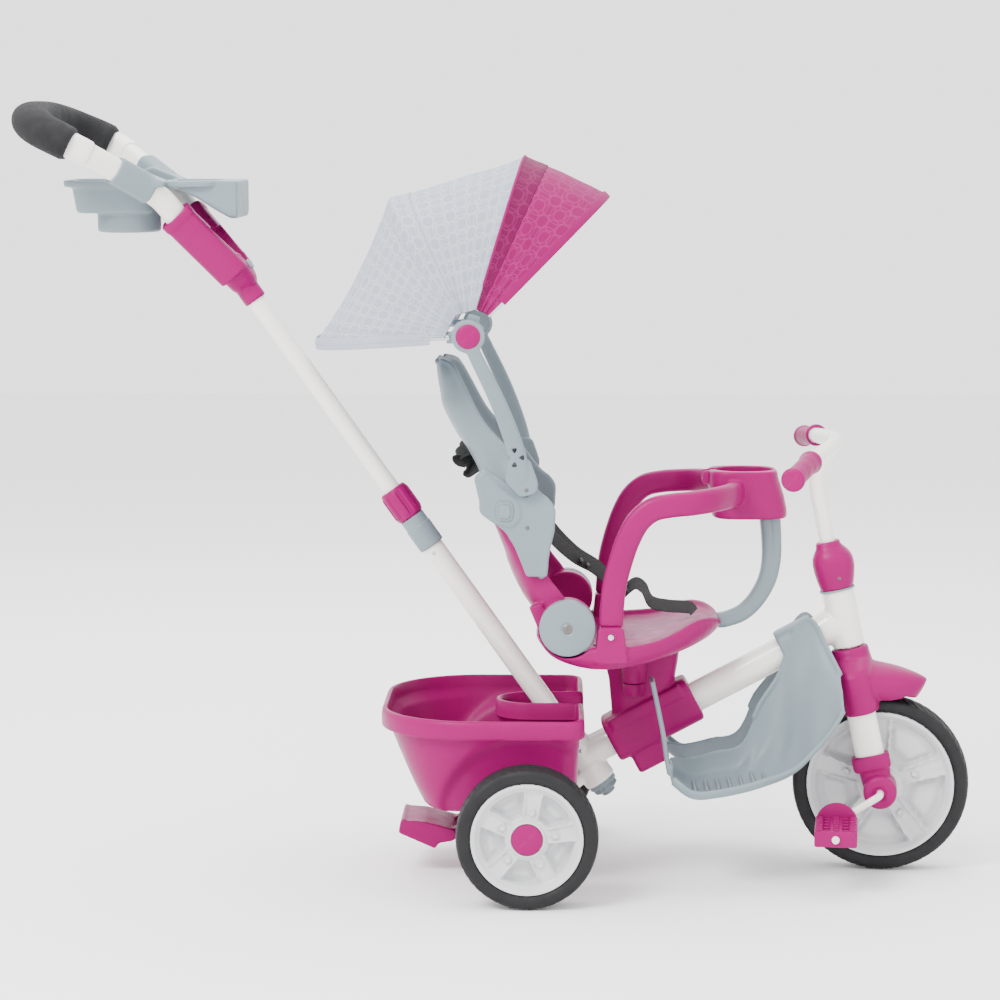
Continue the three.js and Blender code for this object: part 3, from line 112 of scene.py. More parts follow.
def on_steer(z, out=0.0, y=0.0):
    s = (z - STEER_FOOT.z) / STEER_DIR.z
    return STEER_FOOT + STEER_DIR * s + STEER_ACROSS * out + Y * y


def on_back(t, n, y=0.0):
    return PIVOT + BACK_UP * t + BACK_OUT * n + Y * y


FRONT_AXLE = on_steer(FRONT_AXLE_Z, 4)

# ---------- shapes: each is a list of points and a list of faces ----------


def merge(*shapes):
    points, faces = [], []
    for shape_points, shape_faces in shapes:
        base = len(points)
        points += shape_points
        faces += [[base + i for i in face] for face in shape_faces]
    return points, faces


def oval(centre, one, two, a, b, power=2.0, count=32):
    ring = []
    for i in range(count):
        t = 2 * math.pi * i / count
        c, s = math.cos(t), math.sin(t)
        x = math.copysign(abs(c) ** (2 / power), c) * a
        y = math.copysign(abs(s) ** (2 / power), s) * b
        ring.append(centre + one * x + two * y)
    return ring


def loft(rings, loop=False, caps=True):
    count = len(rings[0])
    points = [p for ring in rings for p in ring]
    faces = []
    rows = len(rings)
    for i in range(rows if loop else rows - 1):
        for j in range(count):
            k = (j + 1) % count
            a, b = i * count, (i + 1) % rows * count
            faces.append([a + j, a + k, b + k, b + j])
    if caps and not loop:
        faces.append(list(range(count))[::-1])
        faces.append([(rows - 1) * count + j for j in range(count)])
    return points, faces


def spline(points, count):
    """A smooth curve through the points, resampled evenly."""
    dense = []
    last = len(points) - 1
    for i in range(last):
        p0, p1 = points[max(i - 1, 0)], points[i]
        p2, p3 = points[i + 1], points[min(i + 2, last)]
        for k in range(24):
            t = k / 24
            dense.append(
                0.5 * (2 * p1 + (p2 - p0) * t + (2 * p0 - 5 * p1 + 4 * p2 - p3) * t * t
                       + (3 * p1 - p0 - 3 * p2 + p3) * t ** 3)
            )
    dense.append(points[-1])
    lengths = [0.0]
    for a, b in zip(dense, dense[1:]):
        lengths.append(lengths[-1] + (b - a).length)
    out, i = [], 0
    for k in range(count):
        want = lengths[-1] * k / (count - 1)
        while i < len(dense) - 2 and lengths[i + 1] < want:
            i += 1
        span = max(lengths[i + 1] - lengths[i], 1e-9)
        out.append(dense[i].lerp(dense[i + 1], min((want - lengths[i]) / span, 1)))
    return out


def sweep(points, size, side=Y, steps=48, power=2.0, count=24, caps=True):
    line = spline([Vector(p) for p in points], steps + 1)
    rings = []
    for i, p in enumerate(line):
        tangent = (line[min(i + 1, steps)] - line[max(i - 1, 0)]).normalized()
        up = tangent.cross(side).normalized()
        out = up.cross(tangent).normalized()
        a, b = size(i / steps) if callable(size) else size
        rings.append(oval(p, up, out, a, b, power, count))
    return loft(rings, caps=caps)


def rod(a, b, radius, sides=48):
    return sweep([a, b], (radius, radius), side_for(b - a), 1, 2, sides)


def side_for(direction):
    return Y if abs(direction.normalized().y) < 0.9 else Z


def lathe(profile, origin, direction, sides=72, wave=None):
    """Turns [radius, height] pairs about an axis; wave(angle, height) adds to each radius."""
    one = direction.cross(side_for(direction)).normalized()
    two = direction.normalized().cross(one)
    up = direction.normalized()
    rings = []
    for r, h in profile:
        ring = []
        for i in range(sides):
            t = 2 * math.pi * i / sides
            rr = max(r + (wave(t, h) if wave and r > 0.01 else 0), 0.02)
            ring.append(origin + up * h + (one * math.cos(t) + two * math.sin(t)) * rr)
        rings.append(ring)
    return loft(rings)


def grid_shell(grid, thickness):
    """A wall of even thickness on a grid of points."""
    rows, cols = len(grid), len(grid[0])
    back = []
    for i in range(rows):
        for j in range(cols):
            u = grid[min(i + 1, rows - 1)][j] - grid[max(i - 1, 0)][j]
            v = grid[i][min(j + 1, cols - 1)] - grid[i][max(j - 1, 0)]
            back.append(grid[i][j] + u.cross(v).normalized() * thickness)
    points = [p for row in grid for p in row] + back
    total = rows * cols
    faces = []
    for i in range(rows - 1):
        for j in range(cols - 1):
            k = i * cols + j
            quad = [k, k + 1, k + cols + 1, k + cols]
            faces += [quad, [total + n for n in quad[::-1]]]
    rim = list(range(cols)) + [i * cols + cols - 1 for i in range(1, rows)]
    rim += [(rows - 1) * cols + j for j in range(cols - 2, -1, -1)] + [i * cols for i in range(rows - 2, 0,
        -1)]
    for a, b in zip(rim, rim[1:] + rim[:1]):
        faces.append([b, a, total + a, total + b])
    return points, faces


def slab(outline, y0, y1):
    """A flat outline of (x, z) pairs, carried from y0 to y1."""
    return loft([[Vector((x, y, z)) for x, z in outline] for y in (y0, y1)])


def block(x0, x1, y0, y1, z0, z1):
    return slab([(x0, z0), (x1, z0), (x1, z1), (x0, z1)], y0, y1)


def rounded(outline, radius, steps=5):
    """An (x, z) outline with its corners rounded."""
    out = []
    n = len(outline)
    for i in range(n):
        p, a, b = (Vector(outline[k]) for k in (i, i - 1, (i + 1) % n))
        ta, tb = (a - p).normalized(), (b - p).normalized()
        r = min(radius, 0.45 * (a - p).length, 0.45 * (b - p).length)
        for k in range(steps + 1):
            t = k / steps
            out.append(tuple(p + ta * r * (1 - t) ** 2 + tb * r * t ** 2))
    return out


def through(pairs, x):
    """A smooth value at x through (x, value) pairs, held beyond the ends."""
    if x <= pairs[0][0]:
        return pairs[0][1]
    if x >= pairs[-1][0]:
        return pairs[-1][1]
    i = next(k for k, pair in enumerate(pairs) if pair[0] > x)
    (x0, y0), (x1, y1) = pairs[i - 1], pairs[i]
    xa, ya = pairs[max(i - 2, 0)]
    xb, yb = pairs[min(i + 1, len(pairs) - 1)]
    m0, m1 = (y1 - ya) / (x1 - xa), (yb - y0) / (xb - x0)
    h, t = x1 - x0, (x - x0) / (x1 - x0)
    return (
        y0 * (2 * t ** 3 - 3 * t * t + 1) + m0 * h * (t ** 3 - 2 * t * t + t)
        + y1 * (3 * t * t - 2 * t ** 3) + m1 * h * (t ** 3 - t * t)
    )


def step(edge0, edge1, x):
    t = min(max((x - edge0) / (edge1 - edge0), 0), 1)
    return t * t * (3 - 2 * t)


def spread(count, a, b):
    return [a + (b - a) * i / (count - 1) for i in range(count)]


# ---------- materials ----------


class Nodes:
    """A material's node tree, with short calls for making and linking nodes."""

    def __init__(self, name):
        self.material = bpy.data.materials.new(name)
        self.material.use_nodes = True
        self.tree = self.material.node_tree
        self.tree.nodes.clear()
        self.out = self.tree.nodes.new("ShaderNodeOutputMaterial")
        self.shader = self.tree.nodes.new("ShaderNodeBsdfPrincipled")
        self.link(self.shader.outputs[0], self.out.inputs[0])
        self.where = self.tree.nodes.new("ShaderNodeTexCoord")

    def link(self, a, b):
        self.tree.links.new(a, b)

    def node(self, kind, inputs=None, **settings):
        made = self.tree.nodes.new("ShaderNode" + kind)
        for key, value in settings.items():
            setattr(made, key, value)
        for key, value in (inputs or {}).items():
            if hasattr(value, "is_output"):
                self.link(value, made.inputs[key])
            else:
                made.inputs[key].default_value = value
        return made

    def math(self, operation, a, b=0.0):
        return self.node("Math", {0: a, 1: b}, operation=operation).outputs[0]

    def noise(self, scale, detail=3.0, source="Object"):
        return self.node(
            "TexNoise", {"Vector": self.where.outputs[source], "Scale": scale, "Detail": detail}
        ).outputs["Fac"]

    def between(self, fac, low, high):
        """Colour from low to high as fac goes from 0.3 to 0.7."""
        spread_fac = self.node("MapRange", {"Value": fac, "From Min": 0.3, "From Max": 0.7}).outputs[0]
        return self.node(
            "Mix", {"Factor": spread_fac, "A": (*low, 1), "B": (*high, 1)}, data_type="RGBA"
        ).outputs["Result"]

    def number(self, fac, low, high):
        return self.node(
            "MapRange", {"Value": fac, "From Min": 0.3, "From Max": 0.7, "To Min": low, "To Max": high}
        ).outputs[0]

    def bump(self, height, strength, distance):
        made = self.node("Bump", {"Height": height, "Strength": strength, "Distance": distance})
        self.link(made.outputs[0], self.shader.inputs["Normal"])
        return made

    def set(self, **values):
        for key, value in values.items():
            socket = self.shader.inputs[key.replace("_", " ").title().replace("Ior", "IOR")]
            if hasattr(value, "is_output"):
                self.link(value, socket)
            else:
                socket.default_value = value


def shade(rgb, factor):
    return tuple(min(c * factor, 1) for c in rgb)


def plastic(name, rgb, rough=0.34, grain=0.25, coat=0.12, highlight_gain=1.05, specular=0.5):
    """Moulded plastic: faint flow marks in the colour, a fine grain, and edges made slightly paler as a
    painted highlight.
    """
    m = Nodes(name)
    flow = m.noise(14, 4)
    body = m.between(flow, shade(rgb, 0.955), shade(rgb, 1.03))
    # painted highlight: edges found by pointiness are lightened towards a paler colour
    edge = m.node("NewGeometry").outputs["Pointiness"]
    edge_highlight = m.node("MapRange", {"Value": edge, "From Min": 0.53, "From Max": 0.62}).outputs[0]
    colour = m.node(
        "Mix", {"Factor": m.math("MULTIPLY", edge_highlight, 0.5), "A": body, "B": (*shade(rgb, highlight_gain * 1.15), 1)},
        data_type="RGBA",
    ).outputs["Result"]
    m.set(base_color=colour, roughness=m.number(m.noise(55, 5), rough - 0.05, rough + 0.07))
    m.set(coat_weight=coat, coat_roughness=0.18, specular_ior_level=specular)
    height = m.math("ADD", m.noise(1500, 2), m.math("MULTIPLY", m.noise(160, 3), 0.5))
    m.bump(height, grain, 0.00012)
    return m.material


def enamel(name, rgb):
    m = Nodes(name)
    m.set(base_color=m.between(m.noise(9, 3), shade(rgb, 0.98), shade(rgb, 1.01)))
    m.set(roughness=m.number(m.noise(40, 4), 0.2, 0.3), coat_weight=0.5, coat_roughness=0.08)
    m.bump(m.noise(260, 2), 0.18, 0.00015)
    return m.material


def metal(name, rgb, rough=0.3):
    m = Nodes(name)
    m.set(base_color=m.between(m.noise(60, 4), shade(rgb, 0.9), shade(rgb, 1.05)), metallic=1.0)
    m.set(roughness=m.number(m.noise(120, 4), rough - 0.08, rough + 0.1))
    m.bump(m.noise(900, 3), 0.2, 0.0001)
    return m.material


def rubber(name, rgb, rough=0.72, pores=900, depth=0.0003, strength=0.5):
    m = Nodes(name)
    m.set(base_color=m.between(m.noise(30, 5), shade(rgb, 0.82), shade(rgb, 1.2)))
    m.set(roughness=m.number(m.noise(70, 4), rough - 0.08, rough + 0.1), specular_ior_level=0.25)
    m.bump(m.noise(pores, 4), strength, depth)
    return m.material


def woven(m, height_scale):
    """The height of a plain weave, from the cloth's own lengthwise and crosswise coordinates."""
    axes = m.node("SeparateXYZ", {0: m.where.outputs["UV"]}).outputs
    warp = m.math("SINE", m.math("MULTIPLY", axes[0], height_scale))
    weft = m.math("SINE", m.math("MULTIPLY", axes[1], height_scale))
    return axes, m.math("MULTIPLY", warp, weft)


def webbing(name, rgb):
    m = Nodes(name)
    rows = m.node(
        "TexWave", {"Vector": m.where.outputs["Object"], "Scale": 420, "Distortion": 1.2, "Detail": 2},
        bands_direction="DIAGONAL",
    ).outputs["Fac"]
    m.set(base_color=m.between(rows, shade(rgb, 0.7), shade(rgb, 1.7)), roughness=0.8)
    m.set(sheen_weight=0.05, sheen_roughness=0.5)
    m.bump(rows, 0.6, 0.0004)
    return m.material


def canopy_cloth(name, ground, line, spot):
    """Printed cloth: rows of soft squares with thin outlines, crossed by a wider set, on a fine weave."""
    m = Nodes(name)
    axes, weave = woven(m, 2 * math.pi / 0.0011)

    def lattice(size, offset, radius, width):
        powers = []
        for axis in (0, 1):
            cell = m.math("FRACT", m.math("ADD", m.math("DIVIDE", axes[axis], size), offset))
            powers.append(m.math("POWER", m.math("ABSOLUTE", m.math("SUBTRACT", cell, 0.5)), 2.7))
        reach = m.math("POWER", m.math("ADD", powers[0], powers[1]), 1 / 2.7)
        away = m.math("ABSOLUTE", m.math("SUBTRACT", reach, radius))
        ring = m.node(
            "MapRange", {"Value": away, "From Min": width, "From Max": width * 0.4},
            interpolation_type="SMOOTHSTEP",
        ).outputs[0]
        inside = m.node("MapRange", {"Value": reach, "From Min": radius,
            "From Max": radius - 0.03}).outputs[0]
        return ring, inside

    small, inside = lattice(0.0175, 0.0, 0.45, 0.036)
    large, _ = lattice(0.035, 0.25, 0.40, 0.016)
    tone = m.between(m.noise(24, 4), shade(ground, 0.95), shade(ground, 1.04))
    filled = m.node(
        "Mix", {"Factor": m.math("MULTIPLY", inside, 0.55), "A": tone, "B": (*spot, 1)}, data_type="RGBA"
    ).outputs["Result"]
    lines = m.math("MAXIMUM", m.math("MULTIPLY", small, 0.5), m.math("MULTIPLY", large, 0.6))
    printed = m.node("Mix", {"Factor": lines, "A": filled, "B": (*line, 1)},
        data_type="RGBA").outputs["Result"]
    m.set(base_color=printed, roughness=0.85, sheen_weight=0.04, sheen_roughness=0.6,
        specular_ior_level=0.12)
    m.bump(m.math("ADD", m.math("MULTIPLY", weave, 0.35), m.noise(300, 3)), 0.35, 0.0003)
    return m.material


PINK_RGB = (0.235, 0.001, 0.090)
GREY_RGB = (0.165, 0.212, 0.234)
pink = plastic("pink_moulded", PINK_RGB, specular=0.10, coat=0.0)
grey = plastic("grey_moulded", GREY_RGB, rough=0.4, specular=0.22, coat=0.02)
white_plastic = plastic("white_moulded", (0.82, 0.80, 0.755), rough=0.36)
rim_plastic = plastic("wheel_moulded", (0.53, 0.535, 0.55), rough=0.38, grain=0.35, specular=0.35)
white = enamel("white_enamel", (0.84, 0.82, 0.775))
steel = metal("plated_steel", (0.62, 0.63, 0.65))
dark_steel = metal("dark_screw", (0.16, 0.15, 0.14), 0.4)
tyre_black = rubber("tyre_black", (0.008, 0.008, 0.009), rough=0.6, pores=700)
foam_black = rubber("foam_charcoal", (0.013, 0.013, 0.0145), rough=0.88, pores=1400, depth=0.0006,
    strength=0.9)
strap_black = webbing("webbing_black", (0.006, 0.006, 0.0065))
# painted highlight on the buckle's edges, stronger than on the other plastics
buckle_black = plastic("buckle_black", (0.015, 0.015, 0.016), rough=0.35, highlight_gain=1.6)
grey_cloth = canopy_cloth("cloth_grey", (0.325, 0.350, 0.415), (0.50, 0.53, 0.58), (0.255, 0.285, 0.355))
pink_cloth = canopy_cloth("cloth_pink", (0.205, 0.001, 0.080), (0.30, 0.03, 0.145), (0.175, 0.001, 0.067))
# painted shade: a darker pink cloth for the shadowed fold beside the seam bow
pink_painted_shade = canopy_cloth("cloth_pink_painted_shade", (0.125, 0.001, 0.048), (0.20, 0.02, 0.095),
    (0.095, 0.001, 0.037))

# ---------- making pieces ----------


def mesh_object(name, shape, place):
    points, faces = shape
    mesh = bpy.data.meshes.new(name)
    mesh.from_pydata([place @ p for p in points], [], faces)
    edit = bmesh.new()
    edit.from_mesh(mesh)
    bmesh.ops.remove_doubles(edit, verts=edit.verts, dist=1e-6)
    bmesh.ops.recalc_face_normals(edit, faces=edit.faces)
    edit.to_mesh(mesh)
    edit.free()
    obj = bpy.data.objects.new(name, mesh)
    bpy.context.scene.collection.objects.link(obj)
    return obj


def applied(obj):
    """Applies every modifier."""
    graph = bpy.context.evaluated_depsgraph_get()
    made = bpy.data.meshes.new_from_object(obj.evaluated_get(graph))
    obj.modifiers.clear()
    old = obj.data
    obj.data = made
    bpy.data.meshes.remove(old)
    return obj


def piece(name, shape, body, slot, paint, nodes=(), place=STILL, bevel=0.0, levels=0, fuse=0.0, relax=4,
    cut=(),
          angle=38, coarse=0.0):
    """One shown piece.

    fuse joins overlapping shapes with fillets; cut takes shapes away; bevel rounds edges.
    """
    obj = mesh_object(name, shape, place)
    if levels:
        obj.modifiers.new("round", "SUBSURF").levels = levels
        obj.modifiers["round"].render_levels = levels
        applied(obj)
    if fuse:
        joined = obj.modifiers.new("join", "REMESH")
        joined.mode = "VOXEL"
        joined.voxel_size = (coarse or fuse) / 1000
        eased = obj.modifiers.new("ease", "SMOOTH")
        eased.factor = 0.5
        eased.iterations = relax
        applied(obj)
    cutters = []
    for n, tool in enumerate(cut):
        cutter = mesh_object(f"{name}_cutter_{n}", tool, place)
        cutters.append(cutter)
        carve = obj.modifiers.new(f"carve_{n}", "BOOLEAN")
        carve.operation = "DIFFERENCE"
        carve.solver = "EXACT"
        carve.object = cutter
    if cutters:
        applied(obj)
        for cutter in cutters:
            bpy.data.objects.remove(cutter)
    if cutters and fuse:
        again = obj.modifiers.new("soften", "REMESH")
        again.mode = "VOXEL"
        again.voxel_size = fuse / 1000
        ease = obj.modifiers.new("ease", "SMOOTH")
        ease.factor = 0.5
        ease.iterations = 2
        applied(obj)
    if bevel:
        edge = obj.modifiers.new("edge", "BEVEL")
        edge.width = bevel / 1000
        edge.segments = 3
        edge.limit_method = "ANGLE"
        edge.angle_limit = math.radians(32)
        edge.use_clamp_overlap = True
        applied(obj)
    obj.data.shade_smooth()
    if not fuse:
        obj.data.set_sharp_from_angle(angle=math.radians(angle))
    obj.data.materials.clear()
    obj.data.materials.append(paint)
    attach(obj, body)
    if nodes:
        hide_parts(*nodes)
    return obj


PINK = ("pink_plastic", pink)
GREY = ("grey_plastic", grey)


def screw(name, centre, direction, radius, body, place=STILL, paint=None):
    """A domed screw head with a cross recess, just proud of its face."""
    d = direction.normalized()
    head = lathe(
        [(0.02, -1.5), (radius, -1.5), (radius, 0.2), (radius * 0.86, 0.9), (radius * 0.5, 1.3),
            (0.02, 1.4)],
        centre, d, 28,
    )
    one = d.cross(side_for(d)).normalized()
    two = d.cross(one)
    slots = [
        loft([oval(centre + d * h, a, b, radius * 0.55, radius * 0.13, 6, 8) for h in (0.4, 3)])
        for a, b in ((one, two), (two, one))
    ]
    return piece(name, head, body, "steel", paint or dark_steel, place=place, cut=slots)


# ---------- wheels ----------


def spoke_height(r, angle, rim, hub, boss_at, phase):
    """How far the face of a wheel stands out at a place on it."""
    turn = (math.degrees(angle) - phase) % 72
    off = math.radians(turn - 72 if turn > 36 else turn)
    aside = abs(r * math.sin(off))
    half = 7.5 + 0.07 * r
    inner, outer = hub + 5, rim - 10
    window = step(half - 0.6, half + 2.4, aside) * step(inner + 1, inner + 6,
        r) * (1 - step(outer - 5, outer, r))
    corner = step(half + 1, half + 9, aside) * step(inner + 10, inner + 22, r)
    height = -12.0 * window + 4.0 * window * corner * (1 - step(outer - 16, outer - 4, r))
    ridge = math.exp(-((aside - half + 1.4) / 1.5) ** 2)
    height += 3.2 * ridge * step(inner, inner + 6, r) * (1 - step(outer - 2, outer + 2, r))
    gap = math.hypot(r * math.cos(off) - boss_at, aside)
    height += 4.0 * (1 - step(4.2, 5.4, gap)) - 1.4 * (1 - step(2.6, 3.4, gap))
    height += 2.0 * step(rim - 8, rim - 5.5, r)
    height += 2.0 * (1 - step(hub, hub + 3.5, r))
    return height


def wheel(tag, centre, radius, body, place, names, hub, boss_at, phase, half=23):
    rim_r = radius - 17.5
    sides = 220
    radii = [3.2] + spread(46, 5.5, rim_r - 1)
    rings = []

    def face(side):
        rows = []
        for r in radii:
            row = []
            for i in range(sides):
                t = 2 * math.pi * i / sides
                dish = half - 9.5 + 5.5 * step(rim_r - 12, rim_r - 3, r)
                h = side * (dish + spoke_height(r, t, rim_r, hub, boss_at, phase))
                row.append(centre + Vector((r * math.cos(t), h, r * math.sin(t))))
            rows.append(row)
        return rows

    def band(r, h):
        return [
            centre + Vector((r * math.cos(2 * math.pi * i / sides), h,
                r * math.sin(2 * math.pi * i / sides)))
            for i in range(sides)
        ]

    near = face(-1)
    rings += near + [band(rim_r, -half + 5.5), band(rim_r - 0.4, -half + 8), band(rim_r - 0.4, half - 8)]
    rings += [band(rim_r, half - 5.5)] + face(1)[::-1]
    piece(names[0], loft(rings, loop=True), body, "rim_plastic", rim_plastic, [names[0]], place, angle=60)

    outer, inner, w = radius, rim_r - 1.2, half
    section = [
        (inner, -w + 6), (inner + 1.6, -w + 3.4), (inner + 4, -w + 1.4), (inner + 7, -w + 0.3),
            (outer - 8, -w),
    ]
    section += [(outer - 8 + 8 * math.sin(a) * 0.86, -w + 7 * (1 - math.cos(a))) for a in spread(8, 0.3,
        1.25)]
    section += [(outer - 0.9 * (y / 16) ** 2, y) for y in spread(13, -15, 15)]
    section += [(r, -y) for r, y in section[:13][::-1]]
    blocks = 54 if radius > 100 else 44

    def tread(angle, y):
        ring = abs(y)
        if ring > w - 3.4:
            return 0.0
        chevron = (angle / (2 * math.pi) * blocks + ring * 0.055) % 1
        groove = 1 - step(0.06, 0.16, min(chevron, 1 - chevron))
        sipe = 1 - step(0.03, 0.09, abs((chevron * 3) % 1 - 0.5))
        line = 1 - step(0.7, 1.5, abs(ring - 5.5))
        return -1.5 * groove * step(3, 5, ring) - 0.5 * sipe * step(9, 11, ring) - 1.4 * line

    rings = []
    for i in range(540):
        t = 2 * math.pi * i / 540
        rings.append([
            centre + Vector(((r + tread(t, y)) * math.cos(t), y, (r + tread(t, y)) * math.sin(t)))
            for r, y in section
        ])
    piece(names[1], loft(rings, loop=True), body, "tyre_foam", tyre_black, [names[1]], place, angle=50)


for tag, side in SIDES:
    spot = AXLE + Y * side * 214
    body = {"r": "right", "l": "left"}[tag] + "_rear_wheel"
    wheel(tag, spot, 84.6, body, STILL, [f"rear_rim_{tag}", f"rear_tyre_{tag}"], 19, 33, 81.4)
    cap = [(0.02, -8), (18.4, -8), (18.4, 0.6), (17.6, 1.7), (16, 2.3), (9, 3.1), (0.02, 3.4)]
    ring = [(19.4, -9), (21.4, -9), (21.4, -0.8), (20.6, 0), (19.4, 0)]
    face = spot + Y * side * 18.4
    piece(f"hub_cap_{tag}", lathe(cap, face, Y * side), body, *PINK, [f"rear_cap_{tag}"], angle=30)
    piece(f"hub_ring_{tag}", lathe(ring + ring[:1], face, Y * side), body, "rim_plastic", rim_plastic)

wheel("f", FRONT_AXLE, 109, "front_wheel", FRONT, ["front_rim", "front_tyre"], 22, 45, 90, 23)
for side in (-1, 1):
    hub = [(0.02, 0), (23, 0), (23, 8.6), (20, 10.4), (0.02, 10.4)]
    piece(
        f"front_hub_{'rl'[side > 0]}", lathe(hub, FRONT_AXLE + Y * side * 13.8, Y * side), "front_wheel",
        "rim_plastic", rim_plastic, place=FRONT, bevel=0.8,
    )

# ---------- frame ----------

HEAD_LOW, HEAD_TOP = on_steer(280.5), on_steer(352.7)
tube_meets = on_tube(366.3)
frame_tubes = merge(
    rod(on_tube(4), tube_meets, 19, 40),
    rod(HEAD_LOW, HEAD_TOP, 20, 40),
    sweep([on_tube(318), on_tube(352)], lambda t: (19.4 + 3 * t, 19.2), Y, 6, 2, 40),
    rod(on_pole(-40), on_pole(52), 19.5, 40),
    rod(on_pole(-38), on_pole(-14), 20.6, 40),
    rod(on_pole(40), on_pole(51), 20.6, 40),
    sweep([on_pole(-18), Vector((86, 0, 98)), Vector((60, 0, 87)), AXLE], (8, 15), Y, 12, 4, 24),
    rod(AXLE - Y * 192, AXLE + Y * 192, 9, 32),
)
piece(
    "frame_tubes", frame_tubes, "frame", "white_enamel", white, ["main_tube", "head_tube", "rear_frame"],
    fuse=1.5, relax=7,
)
piece("axle_shaft", rod(AXLE - Y * 233, AXLE + Y * 233, 5, 24), "frame", "steel", steel, ["rear_axle"],
    bevel=0.8)
end_cap = [
    (0.02, -10), (18.4, -10), (18.4, 4), (16.6, 6), (15.4, 6.4), (15.4, 11), (13, 13), (9, 13.2), (9, 17),
    (6.5, 18.6), (0.02, 19),
]
piece(
    "pole_end_cap", lathe(end_cap, on_pole(-40), -POLE_DIR, 60, lambda t,
        h: 0.7 * math.cos(12 * t) * (4.5 < h < 12)),
    "frame", *GREY, ["socket_cap"], angle=40,
)
screw("socket_rivet_r", on_pole(8, 3, -19.6), -Y, 2.6, "frame", paint=steel)
screw("socket_rivet_l", on_pole(8, 3, 19.6), Y, 2.6, "frame", paint=steel)

# ---------- bucket ----------


def bucket_outline(rear, front, half, inset, z):
    """Horseshoe plan of the bucket at one height: round at the rear, with a notch open to the front."""
    x0, x1, w = rear + inset, front - inset, half - inset
    rear_r = 62 + 56 * min(max((z - 94.5) / 98.5, 0), 1) - inset
    front_r, lip_r = max(24 - inset, 8), 5
    notch, deep = 38 + inset, 4 - inset
    plan = []

    def arc(cx, cy, r, a, b, count, power=1.0):
        for t in spread(count, a, b):
            plan.append((cx + r * math.cos(math.radians(t)), cy + r * math.sin(math.radians(t))))

    arc(x1 - lip_r, notch + lip_r, lip_r, -90, 0, 5)
    arc(x1 - front_r, w - front_r, front_r, 0, 90, 9)
    for x in spread(9, x1 - front_r, x0 + rear_r)[1:-1]:
        plan.append((x, w))
    arc(x0 + rear_r, w - rear_r, rear_r, 90, 180, 22)
    right = [(x, -y) for x, y in plan[::-1]]
    plan += right
    arc(deep + notch, 0, notch, -90, -270, 27)
    out = []
    for x, y in plan:
        near = math.hypot(x - AXLE.x, z - AXLE.z)
        arch = 9 * (1 - step(100, 112, near)) * step(118, 132, abs(y)) if z < 192 else 0
        out.append(Vector((x, math.copysign(max(abs(y) - arch, 0), y), z)))
    return out


def bucket_level(z):
    t = min(max((z - 94.5) / 98.5, 0), 1)
    return (
        -86 - 48 * t ** 0.85, 95 + 5 * t, 140 + 30 * t,
    )


rings = []
for z, inset in ((94.5, 9), (94.6, 5), (96.5, 1.6), (99.5, 0)):
    rings.append(bucket_outline(*bucket_level(z), inset, z))
for z in spread(20, 104, 189):
    rings.append(bucket_outline(*bucket_level(z), 0, z))
RIM = (-143, 106, 176)
for z, inset in ((191, 0.6), (192, 0.2)):
    rings.append(bucket_outline(*RIM, 5.5 + inset * 2, z))
for z, inset in ((191.2, 1.6), (192.2, 0.4), (194.5, 0), (206, 0), (211, 0.8), (213.6, 2.6), (214.2, 4.6),
    (213.6, 6.4),
                 (211, 7.6), (200, 8.4), (194, 9.4)):
    rings.append(bucket_outline(*RIM, inset, z))
for z in spread(18, 188, 106):
    rings.append(bucket_outline(*bucket_level(z), 4, z))
for z, inset in ((101.5, 5), (99, 8), (98.1, 13)):
    rings.append(bucket_outline(*bucket_level(z), inset, z))
piece("bucket_shell", loft(rings), "frame", *PINK, ["bucket"], angle=46)
for n, (x, y) in enumerate(((-45, 60), (-45, -60), (30, 90), (30, -90))):
    screw(f"bucket_screw_{n}", Vector((x, y, 98.3)), Z, 4.2, "frame", paint=steel)

# ---------- foot rest ----------

FOOT_STATIONS = [
    (212, (-52, 150), (-56, 143), (-64, 138), (-100, 136), (-144, 136), (-150, 142)),
    (236, (-48, 148), (-50, 134), (-58, 124), (-100, 119), (-146, 119), (-150, 124)),
    (268, (-46, 156), (-48, 140), (-57, 128), (-100, 121), (-146, 121), (-150, 126)),
    (300, (-44, 165), (-47, 148), (-57, 135), (-98, 127), (-142, 127), (-147, 132)),
    (322, (-38, 212), (-47, 166), (-60, 144), (-98, 133), (-138, 133), (-143, 138)),
    (347, (-27, 249), (-42, 200), (-64, 158), (-94, 142), (-122, 139), (-128, 143)),
    (366, (-23, 300), (-40, 238), (-66, 184), (-90, 156), (-109, 148), (-115, 151)),
    (386, (-23, 318), (-42, 262), (-70, 212), (-90, 182), (-103, 168), (-109, 170)),
    (404, (-40, 286), (-54, 262), (-76, 228), (-90, 204), (-99, 190), (-104, 190)),
    (420, (-66, 254), (-74, 246), (-84, 236), (-92, 226), (-98, 218), (-102, 216)),
]


def foot_grid(side):
    rows = [spline([Vector((s[0], -side * y, z)) for y, z in s[1:]], 25) for s in FOOT_STATIONS]
    columns = [spline([row[j] for row in rows], 41) for j in range(25)]
    return [[column[i] for column in columns] for i in range(41)]


foot_parts = []
foot_cuts = [rod(on_tube(200), on_tube(420), 19.3, 48), rod(on_steer(210), on_steer(352), 26.5, 48)]
for tag, side in SIDES:
    grid = foot_grid(side)
    foot_parts.append(grid_shell(grid, 3.4 if side < 0 else -3.4))
    lip = [row[-1] + Vector((0, side * 0.6, 0.4)) for row in grid[::2]]
    foot_parts.append(sweep(lip, (3.3, 3.3), Z, 60, 2, 12))
    brow = [row[0] for row in grid[14::2]]
    foot_parts.append(sweep(brow, (2.8, 2.8), Y, 40, 2, 12))
    strap = [Vector((214, side * 85, 139)), Vector((208, side * 85, 146)), Vector((201, side * 85, 190)),
             Vector((188, side * 85, 252))]
    foot_parts.append(sweep(strap, (3, 22), Y, 24, 5, 24))
    foot_parts.append(block(206, 214, min(side * 62, side * 108), max(side * 62, side * 108), 136.5, 148))
